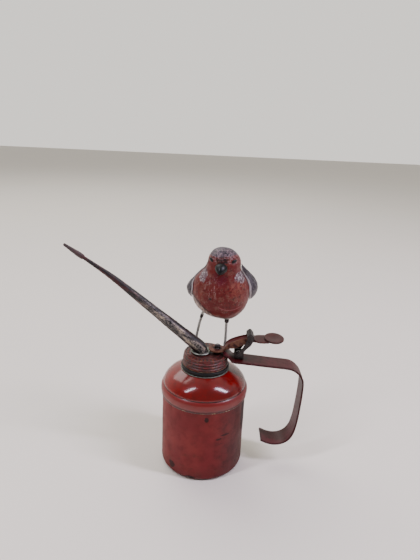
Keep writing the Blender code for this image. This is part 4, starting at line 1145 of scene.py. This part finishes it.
def wing_point(side, s, u, inside):
    """Place of a wing's point, how deep it lies in a groove and how near the pale margin. The share
    s goes from the front edge to the back, and u from the shoulder down."""
    # the lower and the front corners are rounded off
    u = 1 - (1 - u) * (1 - 0.06 * (2 * s - 1) ** 4)
    down, *columns = zip(*WING_ROWS)
    height, front, back = (float(np.interp(u, down, column)) for column in columns)
    z = height - 7.0 * u * s * s
    turn = math.radians(front + (back - front) * s)
    if side > 0:
        flare = 7.4 * math.sin(math.pi * 0.7 * u ** 0.8)
    else:
        low_down = ease(u, 0.45, 0.8)
        flare = 4.6 * low_down
        turn += math.radians(16 * (1 - low_down) * (1 - s))
    flare *= 1 - (1 - s) ** 5
    rim = max(1 - (2 * s - 1) ** 4, 0.0) * max(1 - (2 * u - 1) ** 6, 0.0)
    plate = 0.3 + 1.0 * rim * min(u * 4, 1.0)
    # small coverts on the shoulder, long feathers that sweep back below them
    lane = (s * 1.1 - u * 0.55) * 8.0
    rows = u * 9.0 + 0.35 * math.cos(math.pi * 10 * s)
    covert = min(max((0.5 - u) * 8, 0.0), 1.0)
    cut = vane(lane) * (1 - covert) + covert * max(vane(rows, 0.14), 0.7 * vane(s * 7, 0.1))
    cut *= 0.0 if inside else rim
    margin = 0.0 if inside else max(1 - s / 0.07, 0.0) + max(1 - (1 - u) / 0.05, 0.0)
    off = 0.3 + (flare * 0.85 if inside else flare + plate - 0.42 * cut)
    cx, cy, rx, ry = body_ring(z)
    place = (cx + side * (rx + off) * math.cos(turn), cy + (ry + off) * math.sin(turn), z)
    return place, cut, margin


def tail_point(s, u, inside):
    """As wing_point, but s goes from -1 at one side to 1 at the other, and u from root to end."""
    half = 5.5 + 2.1 * u
    cut = 0.0 if inside else vane(s * 2.5, 0.1)
    thick = (2.4 - 1.2 * u) * (1 - 0.6 * s ** 4)
    end = 1.0 - 0.9 * (1 - abs(vane(s * 2.5, 0.5))) * u ** 8
    middle = Vector((10.9 - 0.3 * u, 41.6 + 16.9 * u, 152.5 - 11.0 * u + 1.2 * u * u))
    rise = -thick / 2 if inside else thick / 2 - 0.2 * cut
    return middle + Vector((s * half, -0.6 + 0.6 * end, rise - 0.8 * s * s)), cut, 0.0


def feathered(columns, rows, point):
    """Plate whose points are placed by a function, with its grooves and margin stored."""
    bm = two_skins(columns, rows)
    groove = bm.verts.layers.float.new("groove")
    margin = bm.verts.layers.float.new("margin")
    for v in bm.verts:
        v.co, v[groove], v[margin] = point(v.co.x, (1 - v.co.y) / 2, v.co.z > 0.5)
    return bm


def make_feathers():
    for word, side in (("right", 1), ("left", -1)):
        bm = feathered(72, 60, lambda x, u, inside: wing_point(side, (x + 1) / 2, u, inside))
        piece(word + "_wing", bm, WING_PAINT, "bird_wing_" + word, sharp=70.0, width=1.4)
    piece("tail", feathered(36, 30, tail_point), WING_PAINT, "bird_tail", sharp=70.0)


# ---- floor, light and camera

ROOM_TONE = srgb(236, 231, 224)
ROOM_LIGHT = 1.36
FACED_SHARE = 0.2  # of the room's light that comes from the side the object faces
FLOOR_HALF, FLOOR_GAP = 6.0, 0.0002  # metres
LAMP_AIM = Vector((0.0, 0.0, 0.09))  # metres: the point that the lamps face
# direction, distance, size, power, colour
LAMPS = {"left_window": ((-0.484, -0.294, 0.825), 1.6, (0.09, 1.0), 13.0, (0.90, 0.86, 1.0)),
         "right_window": ((0.605, -0.186, 0.774), 1.6, (0.11, 1.0), 22.0, (0.86, 0.78, 1.0)),
         "skylight": ((-0.45, 0.7, 0.95), 2.3, (1.8, 1.4), 26.0, (1.0, 0.985, 0.95))}
CAMERA_PLACE = (0.0, -0.3621, 0.2923)  # metres
YAW, PITCH, ROLL = (math.radians(a) for a in (0.14, 18.02, 2.63))
LENS, SENSOR = 29.12, 36.0


def make_floor():
    bm = bmesh.new()
    bmesh.ops.create_grid(bm, x_segments=1, y_segments=1, size=FLOOR_HALF)
    mesh = bpy.data.meshes.new("floor")
    bm.to_mesh(mesh)
    bm.free()
    floor = placed("floor", mesh)
    floor.location.z = -FLOOR_GAP
    f = Finish("pale_floor", Roughness=0.55, Specular_IOR_Level=0.3)
    f.set(Base_Color=f.blend(f.grain(240, 3), srgb(234, 228, 217), srgb(229, 224, 213)))
    mesh.materials.append(f.material)


def make_room():
    """Pale all round for the camera, and darker for the object on the side that it faces."""
    world = bpy.data.worlds.new("pale_room")
    bpy.context.scene.world = world
    world.use_nodes = True
    tree = world.node_tree
    seen, out = tree.nodes["Background"], tree.nodes["World Output"]
    seen.inputs["Color"].default_value = ROOM_TONE
    seen.inputs["Strength"].default_value = ROOM_LIGHT
    room, mix = (tree.nodes.new("ShaderNode" + kind) for kind in ("Background", "MixShader"))
    room.inputs["Color"].default_value = ROOM_TONE
    place, parts, level, path = (tree.nodes.new("ShaderNode" + kind) for kind in
                                 ("TexCoord", "SeparateXYZ", "MapRange", "LightPath"))
    tree.links.new(place.outputs["Generated"], parts.inputs[0])
    tree.links.new(parts.outputs["Y"], level.inputs["Value"])
    for name, value in zip(("From Min", "From Max", "To Min", "To Max"),
                           (-0.2, 0.7, ROOM_LIGHT * FACED_SHARE, ROOM_LIGHT)):
        level.inputs[name].default_value = value
    tree.links.new(level.outputs[0], room.inputs["Strength"])
    tree.links.new(path.outputs["Is Camera Ray"], mix.inputs[0])
    tree.links.new(room.outputs[0], mix.inputs[1])
    tree.links.new(seen.outputs[0], mix.inputs[2])
    tree.links.new(mix.outputs[0], out.inputs["Surface"])


def make_lamps():
    for name, (direction, distance, size, power, colour) in LAMPS.items():
        data = bpy.data.lights.new(name, "AREA")
        data.shape = "RECTANGLE"
        data.size, data.size_y = size
        data.energy = power
        data.color = colour
        lamp = placed(name, data)
        away = Vector(direction).normalized()
        lamp.location = away * distance + LAMP_AIM
        lamp.rotation_mode = "QUATERNION"
        lamp.rotation_quaternion = away.to_track_quat("Z", "Y")


def make_camera():
    """Stands in front of the can, a little above it, and looks down at it."""
    data = bpy.data.cameras.new("camera")
    data.sensor_width = SENSOR
    data.lens = LENS
    data.clip_start = 0.01
    camera = bpy.context.scene.camera = placed("camera", data)
    ahead = Vector((math.sin(YAW) * math.cos(PITCH), math.cos(YAW) * math.cos(PITCH),
                    -math.sin(PITCH)))
    right = ahead.cross(Vector((0, 0, 1))).normalized()
    up = right.cross(ahead)
    right, up = (right * math.cos(ROLL) + up * math.sin(ROLL),
                 up * math.cos(ROLL) - right * math.sin(ROLL))
    camera.matrix_world = (Matrix.Translation(CAMERA_PLACE)
                           @ Matrix((right, up, -ahead)).transposed().to_4x4())


# ---- the whole

make_wall()
make_dome()
make_neck()
make_washer()
make_cap()
make_cap_fittings()
make_spout()
make_strap()
make_fittings()
finish_inner_parts()
for word in HIPS:
    make_leg(word)
make_bird()
make_face()
make_feathers()
make_floor()
make_room()
make_lamps()
make_camera()
